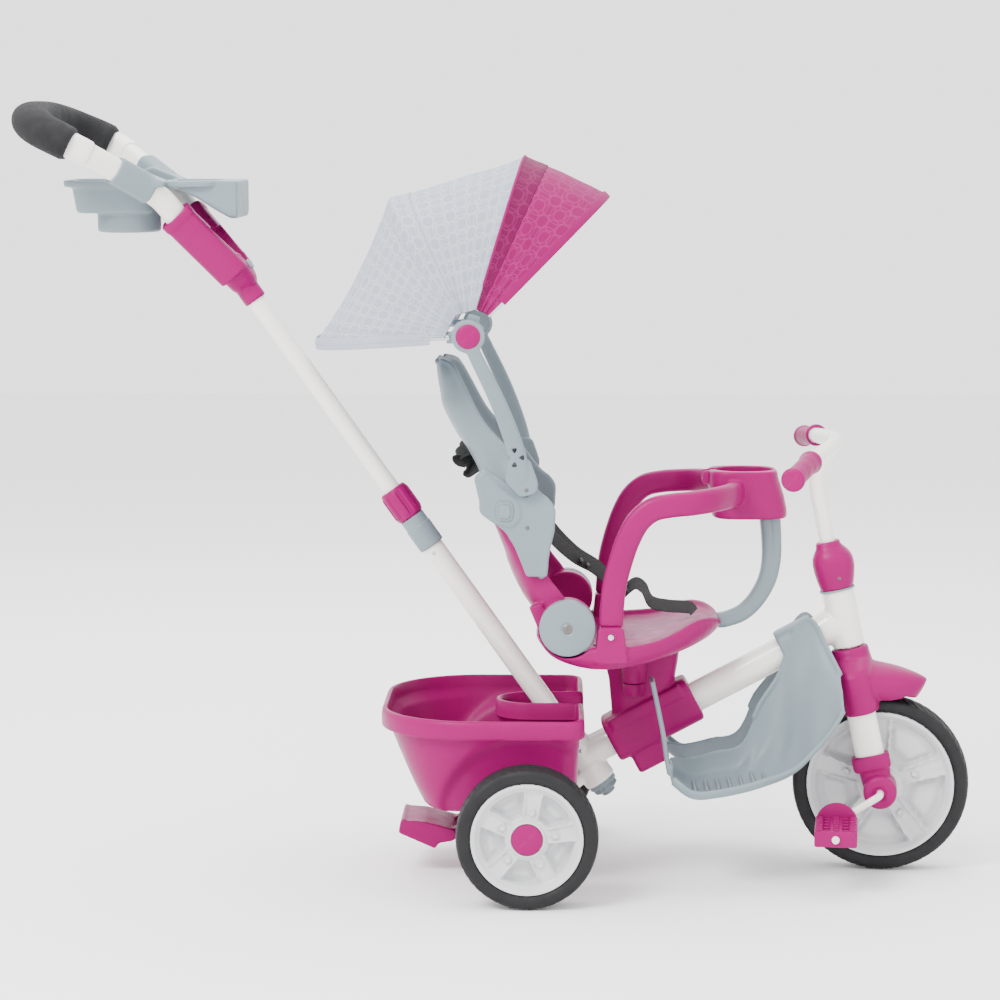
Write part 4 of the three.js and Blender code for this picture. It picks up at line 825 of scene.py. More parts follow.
saddle = loft([oval(on_tube(t), Y, TUBE_UP, w, w, 3, 40) for t,
    w in ((280, 25), (284, 26.6), (324, 26.6), (330, 25.4))])
foot_parts.append(saddle)
foot_cuts.append(block(330, 384, -17.5, 17.5, 190, 292))
piece("foot_rest_body", merge(*foot_parts), "frame", *GREY, ["foot_rest"], fuse=1.45, relax=3,
    cut=foot_cuts)
for tag, side in SIDES:
    for n in range(7):
        x = 240 + 14 * n
        z = 122.4 + 0.115 * (x - 236) + (2.6 if n > 4 else 0) - (0.6 if n < 2 else 0)
        rib = sweep(
            [Vector((x, side * 72, z + 1.4)), Vector((x, side * 80, z)), Vector((x, side * 134, z + 0.2))],
            lambda t: (1.7, 2.1 - 1.0 * abs(2 * t - 1) ** 4), Z, 18, 2.4, 12,
        )
        piece(f"foot_rib_{tag}_{n}", rib, "frame", *GREY)

# ---------- front end ----------

fork_shape = merge(
    rod(on_steer(250), on_steer(382), 12.5, 40),
    *[loft([oval(on_steer(z, 0, s * 41), STEER_ACROSS, Y, 18 - d, 11.5, 2.6, 40) for z, d in
            ((246, 0), (150, 0), (134, 3))]) for s in (-1, 1)],
)
piece("fork_legs", fork_shape, "front_end", "white_enamel", white, ["fork"], FRONT, angle=40)

crown = loft([
    oval(on_steer(z, lead), STEER_ACROSS, Y, a, b, power, 64) for z, a, b, power, lead in (
        (279, 22, 22, 2, 0), (277, 23.4, 23.6, 2, 0), (268, 24, 27, 2, 0), (263, 24.6, 38, 2.3, 0),
        (256, 25, 50, 2.6, 0), (249, 25, 55.5, 2.8, 0), (240, 24.8, 57, 2.9, 0), (216, 25, 57.5, 3, 0),
            (205, 24.6, 57.5, 3, 0),
        (202.6, 23.6, 56.6, 3, 0),
    )
])
visor_rings = []
for t in spread(26, 0, 1):
    x = 440 + 93 * t
    top = through([(440, 262), (460, 262), (476, 259.5), (496, 255.5), (515, 249.5), (527, 244.5),
        (533, 241)], x)
    low = through([(440, 214), (514, 213), (526, 226), (533, 240)], x)
    half = through([(440, 46), (465, 45), (490, 39), (510, 30), (524, 18), (530, 9), (533, 1.5)], x)
    visor_rings.append(oval(Vector((x, 0, (top + low) / 2)), Y, Z, half, max((top - low) / 2, 0.6), 2.3,
        56))
wheel_room = rod(FRONT_AXLE - Y * 29, FRONT_AXLE + Y * 29, 117, 96)
fork_room = [loft([oval(on_steer(z, 0, s * 41), STEER_ACROSS, Y, 18.4, 11.9, 2.6, 40) for z in (247,
    180)]) for s in (-1, 1)]
piece(
    "fender_body", merge(crown, loft(visor_rings)), "front_end", *PINK, ["fender"], FRONT, fuse=1.3,
        relax=7,
    cut=[wheel_room, *fork_room],
)
for s in (-1, 1):
    screw(f"fender_screw_{s + 1}", on_steer(262, 12, s * 31), Vector((0.35, s, 0.5)), 2.6, "front_end",
        FRONT)

for tag, side in SIDES:
    collar = loft([
        oval(on_steer(z, 0, side * 41), STEER_ACROSS, Y, a, b, 3.6, 48)
        for z, a, b in ((133, 20.6, 14.2), (135, 23, 15.6), (137, 23.6, 16), (149, 23.6, 16),
            (151, 23.2, 15.6), (152.2, 21.4, 14))
    ])
    blade = loft([
        oval(on_steer(z, 2, side * 43), STEER_ACROSS, Y, a, 13, 3, 40) for z,
            a in ((104, 17), (120, 18.4), (137, 19.6))
    ])
    boss = lathe(
        [(0.02, 0), (20.6, 0), (20.6, 38), (19.6, 41), (17, 43), (8.6, 43), (8.6, 41.6), (0.02, 41.6)],
        FRONT_AXLE + Y * side * 29, Y * side, 64,
    )
    piece(f"fork_foot_{tag}", merge(collar, blade, boss), "front_end", *PINK, [f"fork_end_{tag}"], FRONT,
        fuse=1.0, relax=4)

BAR = [(-14, -1, -8), (-3, -0.8, -4), (7.6, -0.6, -1), (22, -0.34, 0), (31, -0.14, 1), (33.5, 0, 1)]
half_bar = [on_steer(527 + up, out, share * 246) for out, share, up in BAR]
whole_bar = half_bar + [Vector((p.x, -p.y, p.z)) for p in half_bar[:-1][::-1]]
stem = [on_steer(383), on_steer(445), on_steer(483, 2), on_steer(506, 12), on_steer(528, 33.5)]
piece(
    "handlebar_tube", merge(sweep(whole_bar, (10, 10), Z, 140, 2, 32), sweep(stem, (10, 10), Y, 60, 2, 32)),
    "front_end", "white_enamel", white, ["handlebar"], FRONT, fuse=1.2, relax=6,
)
for tag, side in SIDES:
    outer = on_steer(519, -14, side * 250)
    inward = on_steer(526, 7.6, side * 147.6) - on_steer(519, -14, side * 246)
    profile = [(0.02, 0), (8, 0), (12.4, 0.8), (14, 2.6), (14.2, 4.6), (13.9, 6.6), (12.6, 8.4), (12.1, 11)]
    profile += [(12.1 - 0.55 * (math.cos(h * 2 * math.pi / 6.2) > 0.55), h) for h in spread(61, 13, 84)]
    profile += [(12.3, 87), (13.4, 90), (14.1, 92.4), (14.2, 95), (13.6, 97.6), (12.2, 99), (10.2, 99),
        (10.2, 94), (0.02, 94)]
    piece(f"grip_sleeve_{tag}", lathe(profile, outer, inward, 48), "front_end", *PINK, [f"grip_{tag}"],
        FRONT, angle=50)

neck = loft([
    oval(on_steer(z, lead), STEER_ACROSS, Y, a, b, 2.5, 64) for z, a, b, lead in (
        (353.5, 18.6, 19.6, 0), (354, 20.4, 21.4, 0.3), (357, 21.4, 22.2, 0.6), (365, 23.4, 24, 1),
            (376, 25.4, 25.8, 1.6),
        (386, 25.6, 26, 1.6), (393, 24, 24.6, 1.3), (399, 20.4, 21, 1), (403, 17.2, 17.6, 0.5),
            (406, 15.6, 15.8, 0),
        (409.6, 15, 15, 0), (411, 13.8, 13.8, 0),
    )
])
piece("neck_cover_body", neck, "front_end", *PINK, ["neck_cover"], FRONT, angle=50)
screw("neck_screw_r", on_steer(367, 6, -23.4), Vector((0.1, -1, -0.1)), 2.3, "front_end", FRONT)
screw("neck_screw_l", on_steer(367, 6, 23.4), Vector((0.1, 1, -0.1)), 2.3, "front_end", FRONT)
head_ring = [(20.4, 0), (22, 0), (22, 2.4), (20.4, 2.4), (20.4, 0)]
piece("head_washer", lathe(head_ring, on_steer(350.6), STEER_DIR, 64), "front_end", *GREY, place=FRONT)

# ---------- cranks and pedals ----------

CRANK_ANGLE = math.radians(212.4)


def pedal_centre(side):
    a = CRANK_ANGLE + (math.pi if side > 0 else 0)
    return FRONT_AXLE + Vector((61.6 * math.cos(a), 0, 61.6 * math.sin(a)))


def crank_line(side):
    end = pedal_centre(side)
    start = FRONT_AXLE
    out = [start + Y * side * y for y in (0, 40, 70, 78)]
    toward = (end - start).normalized()
    out += [start + Y * side * 83.4 + toward * 2, start + Y * side * 85 + toward * 8]
    out += [start + Y * side * 85 + toward * 30, end + Y * side * 85 - toward * 8,
        end + Y * side * 86.6 - toward * 2]
    out += [end + Y * side * y for y in (92, 130, 181)]
    return out


line = crank_line(-1)[::-1] + crank_line(1)[1:]
bend = sweep(line, (4.5, 4.5), Vector((0.31, 0.02, 0.95)), 260, 2, 20)
piece("crank_rod", bend, "front_wheel", "white_enamel", enamel("crank_white", (0.74, 0.72, 0.66)),
    ["crank"], FRONT, angle=60)

for tag, side in SIDES:
    c = pedal_centre(side)
    y0, y1 = sorted((side * 97, side * 178))
    body = {"r": "right", "l": "left"}[tag] + "_pedal"
    hood = [(c.x + 25.5 * math.cos(a), c.z + 25.5 * math.sin(a)) for a in spread(25, 0.02, math.pi - 0.02)]
    flange = rounded([(c.x - 25.5, c.z - 9.5), (c.x + 25.5, c.z - 9.5)], 2.4) + hood
    f0, f1 = sorted((side * 92, side * 97.5))
    bars = []
    for dx in (-20.5, 20.5):
        bars.append(slab(rounded([(c.x + dx - 5, c.z - 9.5), (c.x + dx + 5, c.z - 9.5),
            (c.x + dx + 5, c.z + 9.5),
                                  (c.x + dx - 5, c.z + 9.5)], 2.6), y0, y1))
    bars.append(slab(rounded([(c.x - 7.5, c.z - 8), (c.x + 7.5, c.z - 8), (c.x + 7.5, c.z + 8),
        (c.x - 7.5, c.z + 8)], 2.4),
                     y0, y1))
    for y in spread(6, y0 + 2.5, y1 - 2.5):
        bars.append(block(c.x - 22, c.x + 22, y - 2, y + 2, c.z - 7.5, c.z + 7.5))
    e0, e1 = sorted((side * 173, side * 178.5))
    plate = slab(rounded([(c.x - 25.5, c.z - 9.5), (c.x + 25.5, c.z - 9.5), (c.x + 25.5, c.z + 9.5),
                          (c.x - 25.5, c.z + 9.5)], 3.2), e0, e1)
    teeth = []
    for y in spread(7, y0 + 8, y1 - 8):
        for dx in (-20.5, 0, 20.5):
            teeth.append(block(c.x + dx - 3.4, c.x + dx + 3.4, y - 1.6, y + 1.6, c.z - 10.6, c.z + 10.6))
    shape = merge(slab(flange, f0, f1), *bars, plate, *teeth)
    piece(f"pedal_body_{tag}", shape, body, *PINK, [f"pedal_{tag}"], FRONT, bevel=0.7)
    screw(f"pedal_rivet_{tag}", c + Y * side * 178.6, Y * side, 4.6, body, FRONT, paint=white_plastic)

# ---------- push pole ----------

piece("pole_lower", rod(on_pole(-25), on_pole(366), 13.5, 48), "lower_push_pole", "white_enamel", white,
    ["lower_pole"], POLE)
sleeve = [(13.7, 0), (15.6, 0), (16.6, 1.2), (16.6, 30), (15.8, 31), (15.8, 44), (13.7, 44), (13.7, 0)]
piece("pole_collar", lathe(sleeve, on_pole(324), POLE_DIR, 60), "lower_push_pole", *GREY, ["pole_sleeve"],
    POLE, bevel=0.4)
screw("pole_pin", on_pole(316, -2, -13.6), -Y, 2.4, "lower_push_pole", POLE, paint=steel)


def lobes(angle, height):
    wide = math.cos(8 * angle)
    inside = step(2, 8, height) * (1 - step(33, 39, height))
    return inside * (1.9 * step(-0.35, 0.25, wide) - 0.4)


nut = [(11.3, 0), (15.4, 0), (16.8, 0.8), (17.4, 2.4)] + [(17.4, h) for h in spread(26, 3.4, 37)]
nut += [(17.2, 39), (16.4, 40.6), (15, 41.4), (11.3, 41.4), (11.3, 0)]
piece("nut_body", lathe(nut, on_pole(368.4), POLE_DIR, 144, lobes), "clamp_nut", *PINK, ["collar_nut"],
    POLE, angle=45)
piece("pole_upper", rod(on_pole(250), on_pole(736), 11, 48), "push_handle", "white_enamel", white,
    ["upper_pole"], POLE)

ARM = [Vector((-384, 42, 806)), Vector((-408, 60, 838)), Vector((-452, 88, 869)), Vector((-498, 118, 899)),
       Vector((-540, 104, 919)), Vector((-562, 58, 930))]
HANDLE = ARM + [Vector((-566, 0, 932))] + [Vector((p.x, -p.y, p.z)) for p in ARM[::-1]]
piece("handle_tube", sweep(HANDLE, (12, 14.4), Z, 150, 2.7, 36), "push_handle", "white_plastic",
    white_plastic,
      ["handle_frame"], POLE, angle=60)
fine = spline(HANDLE, 201)


def foam_size(t):
    edge = min(t, 1 - t) * 60
    return (24 - 2.6 * (1 - step(0, 1, edge)), 21 - 2.6 * (1 - step(0, 1, edge)))


foam = sweep(fine[52:149:4], foam_size, Z, 120, 2.1, 48)
for tag, part in (("r", fine[43:55:3]), ("l", fine[146:158:3])):
    shoulder = sweep(part, lambda t: (13.9 - 1.2 * abs(2 * t - 1) ** 10, 16.4 - 1.2 * abs(2 * t - 1) ** 10),
        Z, 24, 2.8, 40)
    piece(f"handle_shoulder_{tag}", shoulder, "push_handle", "white_plastic", white_plastic, place=POLE,
        angle=60)
piece("foam_sleeve", foam, "push_handle", "foam", foam_black, ["foam_grip"], POLE, angle=60)

neck_end = on_pole(697)
bracket = [
    lathe([(0.02, 0), (13.4, 0), (14.5, 1), (14.5, 30), (0.02, 30)], neck_end, POLE_DIR, 48),
    loft([oval(on_pole(s, 1), POLE_ACROSS, Y, a, b, 3, 40) for s, a,
        b in ((716, 14, 15), (722, 17, 21), (738, 19.5, 31), (756, 20, 40))]),
]
for s in (-1, 1):
    foot, mouth = on_pole(738, 0, s * 18), Vector((-391, s * 47, 815))
    bracket.append(sweep([foot, foot.lerp(mouth, 0.5), mouth], (20.5, 16.4), Y, 14, 3.6, 40))
    bracket.append(sweep([foot.lerp(mouth, 0.9), mouth], (21.6, 17.4), Y, 3, 3.6, 40))
hollows = [
    sweep(HANDLE, (12.3, 14.7), Z, 150, 2.7, 36),
    loft([oval(on_pole(s, 14), POLE_ACROSS, Y, 16, b, 3, 24) for s,
        b in ((742, 10), (764, 22), (800, 40))]),
]
piece("bracket_body", merge(*bracket), "push_handle", *PINK, ["handle_bracket"], POLE, fuse=1.2, relax=6,
    cut=hollows)
piece(
    "bracket_button",
    loft([oval(on_pole(738, n), Y, POLE_DIR, w, w * 0.7, 3.4, 28) for n,
        w in ((12, 9), (21, 9), (22.4, 7.6))]),
    "push_handle", *GREY, place=POLE, bevel=0.5,
)



def tray_ring(z, x0, x1, half, r):
    ring = []
    for cx, cy, a in ((x1 - r, half - r, 0), (x0 + r, half - r, 90), (x0 + r, r - half, 180),
        (x1 - r, r - half, 270)):
        for t in spread(9, a, a + 90):
            ring.append(Vector((cx + r * math.cos(math.radians(t)), cy + r * math.sin(math.radians(t)), z)))
    return ring


tray_rows = [
    (817, -512, -426, 44, 20), (817.4, -514, -424, 46, 21), (820, -516, -422, 47.4, 22),
        (846, -520, -416, 50, 23),
    (848, -521, -414, 51, 24), (849, -529, -334, 54, 26), (850, -530.4, -332, 54.6, 27),
        (856, -531, -331, 55, 27),
    (857.4, -529, -333, 53.6, 26), (856.6, -526, -337, 51.6, 25), (851, -523, -341, 49.4, 24),
]
pan = loft([tray_ring(*row) for row in tray_rows])
APRON = [(-407, 850), (-388, 846), (-364, 835), (-342, 821), (-324, 811), (-314, 811), (-314, 857),
    (-407, 857)]
apron = []
for y, share in ((-47, 0.8), (-45, 0.93), (-38, 1), (38, 1), (45, 0.93), (47, 0.8)):
    apron.append([Vector((-360 + (x + 360) * (0.9 + 0.1 * share), y, 857 + (z - 857) * share)) for x,
        z in rounded(APRON, 4)])
cup_outer = lathe([(0.02, 0), (36, 0), (38.4, 1.4), (39, 4), (39, 30), (0.02, 30)], Vector((-456, 0, 793)),
    Z, 64)
clips = []
for s in (-1, 1):
    hold = fine[17:34:2] if s < 0 else fine[167:184:2]
    clips.append(sweep([Vector((p.x, s * abs(p.y), p.z)) for p in hold], (15.4, 17.6), Z, 28, 3.4, 40))
    clips.append(slab(rounded([(-452, 850), (-398, 850), (-398, 857), (-436, 872), (-452, 866)], 4),
                      *sorted((s * 44, s * 80))))
tray_cuts = [
    loft([tray_ring(*row) for row in ((821, -508, -430, 40, 18), (822.5, -510, -428, 42, 19),
        (860, -517, -416, 46, 21))]),
    lathe([(0.02, 0), (34, 0), (35.6, 1.6), (35.6, 40), (0.02, 40)], Vector((-456, 0, 796)), Z, 64),
    loft([tray_ring(*row) for row in ((851, -398, -344, 38, 12), (860, -402, -340, 42, 14))]),
    sweep(HANDLE, (12.3, 14.7), Z, 150, 2.7, 36),
    rod(on_pole(732), on_pole(766), 47, 32),
]
piece("tray_body", merge(pan, loft(apron), cup_outer, *clips), "push_handle", *GREY, ["parent_tray"], POLE,
    fuse=1.2,
      relax=3, cut=tray_cuts)

# ---------- seat ----------

SEAT_W = [(47, 118), (52, 134), (60, 148), (72, 158), (90, 164), (115, 166), (142, 166), (165, 159),
    (190, 146), (215, 128), (240, 104),
          (256, 82), (268, 58), (274, 36), (276, 14)]
SEAT_LOW = [(47, 303), (63, 287), (85, 278), (114, 272), (137, 272), (171, 276), (219, 286), (245, 293),
    (265, 300), (276, 307)]
SEAT_TOP = [(47, 314), (63, 310), (85, 304), (115, 301), (140, 301), (190, 307), (215, 315), (240, 325),
    (258, 326), (270, 321), (276, 314)]


def seat_plan():
    plan = [(47, 0), (47, 60), (47, 100)]
    plan += [(x, through(SEAT_W, x)) for x in (47.6, 49, 52, 56, 61, 68, 78, 92, 110, 130, 148, 165, 181,
        196, 210, 223, 235,
                                                 246, 255, 262, 268, 272, 274.6, 276)]
    plan += [(276.4, 0)]
    return plan + [(x, -y) for x, y in plan[-2:0:-1]]


plan = [(x, y) for x, y in seat_plan()]
seat_rings = []
SEAT_WALL = [
    (0.3, 0), (0.7, 0), (0.86, 0.02), (0.93, 0.1), (0.97, 0.26), (0.992, 0.46), (1.0, 0.66), (0.998, 0.84),
        (0.984, 0.96),
    (0.966, 1.0), (0.946, 0.98), (0.93, 0.9), (0.915, 0.78), (0.89, 0.7), (0.82, 0.66), (0.6, 0.64),
        (0.35, 0.64), (0.1, 0.64),
]
for n, (s, f) in enumerate(SEAT_WALL):
    ring = []
    for x, y in plan:
        px = 150 + (x - 150) * s
        low, top = through(SEAT_LOW, px), through(SEAT_TOP, px)
        edge = low + (top - low) * f
        floor = top - 9 * (1 - f) / 0.36
        ring.append(Vector((px, y * s, edge if n < 10 else floor)))
    seat_rings.append(ring)
seat_extra = []
seat_cuts = []
for s in (-1, 1):
    y0, y1 = sorted((s * 133, s * 166.5))
    outline = rounded([(117, 283), (157, 283), (151.5, 326.6), (122, 326.6)], 4)
    seat_extra.append(slab(outline, y0, y1))
    c0, c1 = sorted((s * 112, s * 200))
    seat_cuts.append(rod(Vector((85, c0, 324)), Vector((85, c1, 324)), 35.6, 72))
piece("seat_shell", merge(loft(seat_rings), *seat_extra), "seat", *PINK, ["seat_pan"], fuse=1.5, relax=4,
    cut=seat_cuts)
for n, (x, y) in enumerate(((199, 12), (199, -12), (120, 70), (120, -70))):
    slit = loft([oval(Vector((x, y, 280 + h)), Vector((1, 0, 0)), Y, 3, 11, 3, 16) for h in (11.4, 13.2)])
    piece(f"seat_slit_{n}", slit, "seat", "black_webbing", buckle_black)

column = [loft([
    oval(Vector((x, 0, z)), Vector((1, 0, 0)), Y, a, b, 4, 48)
    for z, x, a, b in ((196, 178, 37, 27), (212, 178, 38.4, 28), (240, 178, 41, 29), (262, 177, 46, 30),
        (280, 176, 49, 30))
])]
column.append(loft([oval(on_tube(t, 2), Y, TUBE_UP, w, h, 4.4, 48) for t, w, h in
                    ((40, 30, 26), (42, 32.6, 28.6), (46, 33, 29), (152, 33, 29), (156, 32.6, 28.6),
                        (158, 30, 26))]))
column.append(loft([oval(on_tube(t, -36), Y, TUBE_UP, w, h, 5, 40) for t, w, h in
                    ((54, 22, 14), (57, 25, 16), (93, 25, 16), (96, 22, 14))]))
for s in (-1, 1):
    column.append(loft([oval(on_tube(t, 20, s * 30), Y, TUBE_UP, 4.6, 9, 4, 24) for t in (50, 148)]))
guide = [(0.02, 0), (13.6, 0), (15, 1.2), (15, 44), (0.02, 44)]
column.append(lathe(guide, Vector((167.5, -43, 240)), Z, 48))
tube_room = [rod(on_tube(-40), on_tube(330), 19.3, 64)]
piece("seat_post", merge(*column), "seat", *PINK, ["seat_column"], fuse=1.4, relax=3, cut=tube_room)
knob = [(0.02, 0), (11, 0), (13.4, 1), (14, 2.4), (14, 13), (13.4, 15.4), (5, 15.6), (5, 34), (0.02, 34)]
piece("lock_knob", lathe(knob, Vector((167.5, -43, 224)), Z, 60, lambda t,
    h: 0.45 * math.cos(16 * t) * (2.4 < h < 13)),
      "seat_lock", *PINK, ["seat_lock_knob"], angle=45)
for tag, side in SIDES:
    body = {"r": "right", "l": "left"}[tag] + "_button"
    start = Vector((136.5, side * 158.6, 315))
    button = [(0.02, 0), (4, 0), (4, 8.4), (3.4, 9.3), (2, 9.7), (0.02, 9.8)]
    piece(f"button_{tag}", lathe(button, start, Y * side, 32), body, "steel", steel,
        [f"release_button_{tag}"])
    seat_eye = [(4.6, 0), (6.4, 0), (6.4, 0.8), (4.6, 0.8), (4.6, 0)]
    piece(f"button_ring_{tag}", lathe(seat_eye, Vector((136.5, side * 166.3, 315)), Y * side, 40), "seat",
        *PINK)

# ---------- backrest ----------

UP_REAR = [(66, -8), (80, -13), (115, -13), (150, -20), (170, -24), (188, -21), (208, -15), (242, -15),
    (262, -18),
           (300, -18), (317, -13), (342, -5), (351, 0)]
UP_FRONT = [(66, 2), (87, 18), (104, 30), (125, 46), (137, 51), (150, 48), (161, 43), (200, 37), (226, 31),
    (248, 24),
            (270, 20), (333, 19), (344, 15), (351, 6)]
UP_HALF = [(66, 150), (150, 150), (175, 144), (210, 126), (260, 112), (300, 102), (330, 88), (344, 72),
    (351, 58)]
LOW_REAR = [(16, -29), (48, -34.8), (76, -35), (97, -33), (110, -30), (138, -26), (147, -25)]
LOW_FRONT = [(16, 9), (32, 10.7), (58, 6), (90, 2), (120, -8), (147, -14)]


def back_grid(t0, t1, rows, rear, front, half, cols=49):
    power = 2 / 3.6
    grid = []
    for t in spread(rows, t0, t1):
        r, f, w = through(rear, t), through(front, t), through(half, t)
        row = []
        for a in spread(cols, -90, 90):
            s, c = math.sin(math.radians(a)), abs(math.cos(math.radians(a)))
            row.append(on_back(t, f - (f - r) * c ** power, w * math.copysign(abs(s) ** power, s)))
        grid.append(row)
    return grid


upper_shell = grid_shell(back_grid(66, 351, 64, UP_REAR, UP_FRONT, UP_HALF), -5)
low_half = [(0, 142), (200, 142)]
lower_shell = grid_shell(back_grid(16, 147, 34, LOW_REAR, LOW_FRONT, low_half), -5)
middle_out = loft([oval(on_back(t, 0), BACK_OUT, Y, 90, 143, 12, 48) for t in (-40, 148)])
strap_slots = [
    loft([oval(on_back(t, n, s * 52), BACK_UP, Y, 4, 15, 4, 20) for n in (-40, 10)]) for s in (-1,
        1) for t in (214, 240)
]
edge_rolls = []
for s in (-1, 1):
    edge = [on_back(t, through(UP_FRONT, t) - 1.5, s * (through(UP_HALF, t) - 1.6)) for t in spread(28, 74,
        350)]
    edge_rolls.append(sweep(edge, (3.4, 3.4), Y, 80, 2, 14))
    plate = rounded([(-27, 504), (-21, 478), (-18, 462), (-3, 450), (11, 438), (22, 420), (31, 398),
        (36, 385), (61, 385),
                     (63, 412), (70, 442), (70, 466), (62, 480), (46, 488), (34, 480), (14, 497),
                         (-14, 516)], 3)
    y0, y1 = sorted((s * 145, s * 151.2))
    edge_rolls.append(slab(plate, y0, y1))
    pad = rounded([(-26, 502), (-20, 480), (-21, 462), (-2, 448), (20, 444), (30, 456), (27, 476), (6, 492),
        (-14, 512)], 6)
    edge_rolls.append(slab(pad, *sorted((s * 150, s * 154))))
top_roll = [on_back(351, through(UP_REAR, 351) + 1, y) for y in spread(9, -52, 52)]
edge_rolls.append(sweep(top_roll, (3.2, 3.2), BACK_OUT, 30, 2, 14))
piece("back_upper", merge(upper_shell, *edge_rolls), "backrest", *GREY, ["backrest_upper"], fuse=1.35,
    relax=4,
      cut=[middle_out, *strap_slots], coarse=1.5)
low_parts = [lower_shell]
for s in (-1, 1):
    a, b = sorted((s * 118, s * 143.4))
    low_parts.append(rod(Vector((85, a, 324)), Vector((85, b, 324)), 33, 64))
    low_parts.append(sweep([on_back(14, -24, s * 131), on_back(40, -22, s * 131)], (9, 12), Y, 4, 4, 20))
    rim = [on_back(t, through(LOW_FRONT, t) - 1, s * 140.4) for t in spread(16, 22, 146)]
    low_parts.append(sweep(rim, (3.2, 3.2), Y, 50, 2, 14))
for t in (40, 62, 84, 106, 128):
    low_parts.append(sweep([on_back(t, through(LOW_REAR, t) + 6, y) for y in (-70, 0, 70)], (1.6, 2.2),
        BACK_OUT, 20, 2, 10))
piece("back_lower", merge(*low_parts), "backrest", *PINK, ["backrest_lower"], fuse=1.4, relax=4)
for tag, side in SIDES:
    disc = [(0.02, 0), (33.2, 0), (33.5, 1), (33.5, 14.5), (32.8, 16.4), (31, 17.3), (8.5, 19.4), (7, 18.4),
        (0.02, 18.2)]
    piece(f"recline_disc_{tag}", lathe(disc, Vector((85, side * 144, 324)), Y * side, 96), "backrest",
        *GREY,
          [f"recline_cap_{tag}"], angle=30)
    screw(f"recline_screw_{tag}", Vector((85, side * 162.4, 324)), Y * side, 6, "backrest")
    screw(f"back_screw_{tag}", Vector((37, side * 151.2, 444)), Y * side, 2.4, "backrest")
    c = Vector((10, side * 153.6, 464))
    bezel = loft([oval(c + Y * side * h, Vector((1, 0, 0)), Z, r, r * 1.15, 3.2, 40) for h,
        r in ((-2, 10.6), (1.4, 10.6), (2.4, 9.6))])
    push = loft([oval(c + Y * side * h, Vector((1, 0, 0)), Z, r, r * 1.2, 3.2, 40) for h,
        r in ((-1, 7.2), (3.6, 7.2), (4.6, 6.2))])
    piece(f"back_bezel_{tag}", bezel, "backrest", *GREY, bevel=0.5)
    piece(f"back_button_{tag}", push, "backrest", *GREY, bevel=0.5)

for tag, side in SIDES:
    def at(x, y, z):
        return Vector((x, side * y, z))

    bar = [at(30, 158, 500), at(24, 163, 535), at(12, 173, 572), at(-2, 183, 606), at(-20, 191, 643),
        at(-30, 192, 664)]
    parts = [sweep(bar, lambda t: (11.4 - 3.6 * t, 5.4 - 0.9 * t), Y, 60, 3.4, 32)]
    boss = rounded([(10, 500), (29, 481), (48, 486), (50, 497), (40, 526), (16, 528)], 6)
    b0, b1 = sorted((side * 150.4, side * 162.6))
    parts.append(slab(boss, b0, b1))
    parts.append(lathe([(0.02, 0), (19, 0), (19.6, 1), (19.6, 8.6), (18.6, 9.8), (0.02, 9.8)],
        at(-32, 186.4, 673), Y * side, 72))
    cross = []
    for corner in ((24, 512), (33, 521), (24, 530), (16, 521)):
        inward = Vector((24.5 - corner[0], 0, 521 - corner[1])).normalized()
        centre = at(corner[0] - 2, 0, corner[1] + 8)
        cross.append(loft([oval(centre + Y * side * y, inward, across(inward), 4.6, 4.6, 2,
            3) for y in (159.6, 172)]))
    piece(f"canopy_strut_{tag}", merge(*parts), "backrest", *GREY, [f"canopy_arm_{tag}"], fuse=1.0, relax=4,
        cut=cross)
    cap = [(0.02, 0), (14.4, 0), (14.4, 0.9), (13.4, 1.7), (6, 2.3), (0.02, 2.4)]
    piece(f"canopy_cap_{tag}", lathe(cap, at(-32, 195.8, 673), Y * side, 64), "backrest", *PINK)
    screw(f"strut_screw_{tag}", at(36, 162.6, 490), Y * side, 2.2, "backrest")

# ---------- canopy ----------

BOWS = [(-216, 660), (-128, 830), (30, 879), (128, 835)]
BOW_HALF = 181


def bow_line(crown, count, grow=0.0, start=2.2):
    out = Vector((crown[0] - HUB.x, 0, crown[1] - HUB.z))
    radius = out.length + grow
    out.normalize()
    power = 2 / 3.4
    line = []
    for a in spread(count, start, 180 - start):
        s, c = math.sin(math.radians(a)), math.cos(math.radians(a))
        line.append(HUB + out * radius * abs(s) ** power - Y * math.copysign(abs(c) ** power,
            c) * (BOW_HALF + grow))
    return line


for n, (name, crown) in enumerate(zip(("rear", "mid", "seam", "visor"), BOWS)):
    piece(f"wire_{name}", sweep(bow_line(crown, 41), (2.6, 2.6),
        Vector((crown[0] - HUB.x, 0, crown[1] - HUB.z)).cross(Y).normalized(),
                                120, 2, 12), "canopy", "steel", steel, [f"bow_{name}"])
for tag, side in SIDES:
    parts = [lathe([(0.02, 0), (17, 0), (17.6, 0.8), (17.6, 8.4), (17, 9.1), (0.02, 9.1)],
        HUB + Y * side * 176.4, Y * side, 64)]
    rivets = []
    for crown in BOWS:
        out = Vector((crown[0] - HUB.x, 0, crown[1] - HUB.z)).normalized()
        start = HUB + Y * side * 181
        shown = crown in (BOWS[0], BOWS[2])
        parts.append(sweep([start, start + out * (26 if shown else 20)], lambda t: (8.4 - 1.6 * t, 3.4), Y,
            12, 5, 28))
        rivets.append(start + out * 24 + Y * side * 3.3)
    piece(f"canopy_bracket_{tag}", merge(*parts), "canopy", *GREY, [f"canopy_hub_{tag}"], fuse=0.8, relax=3)
    for n, spot in enumerate(rivets[:1]):
        screw(f"canopy_rivet_{tag}_{n}", spot, Y * side, 3.0, "canopy", paint=steel)



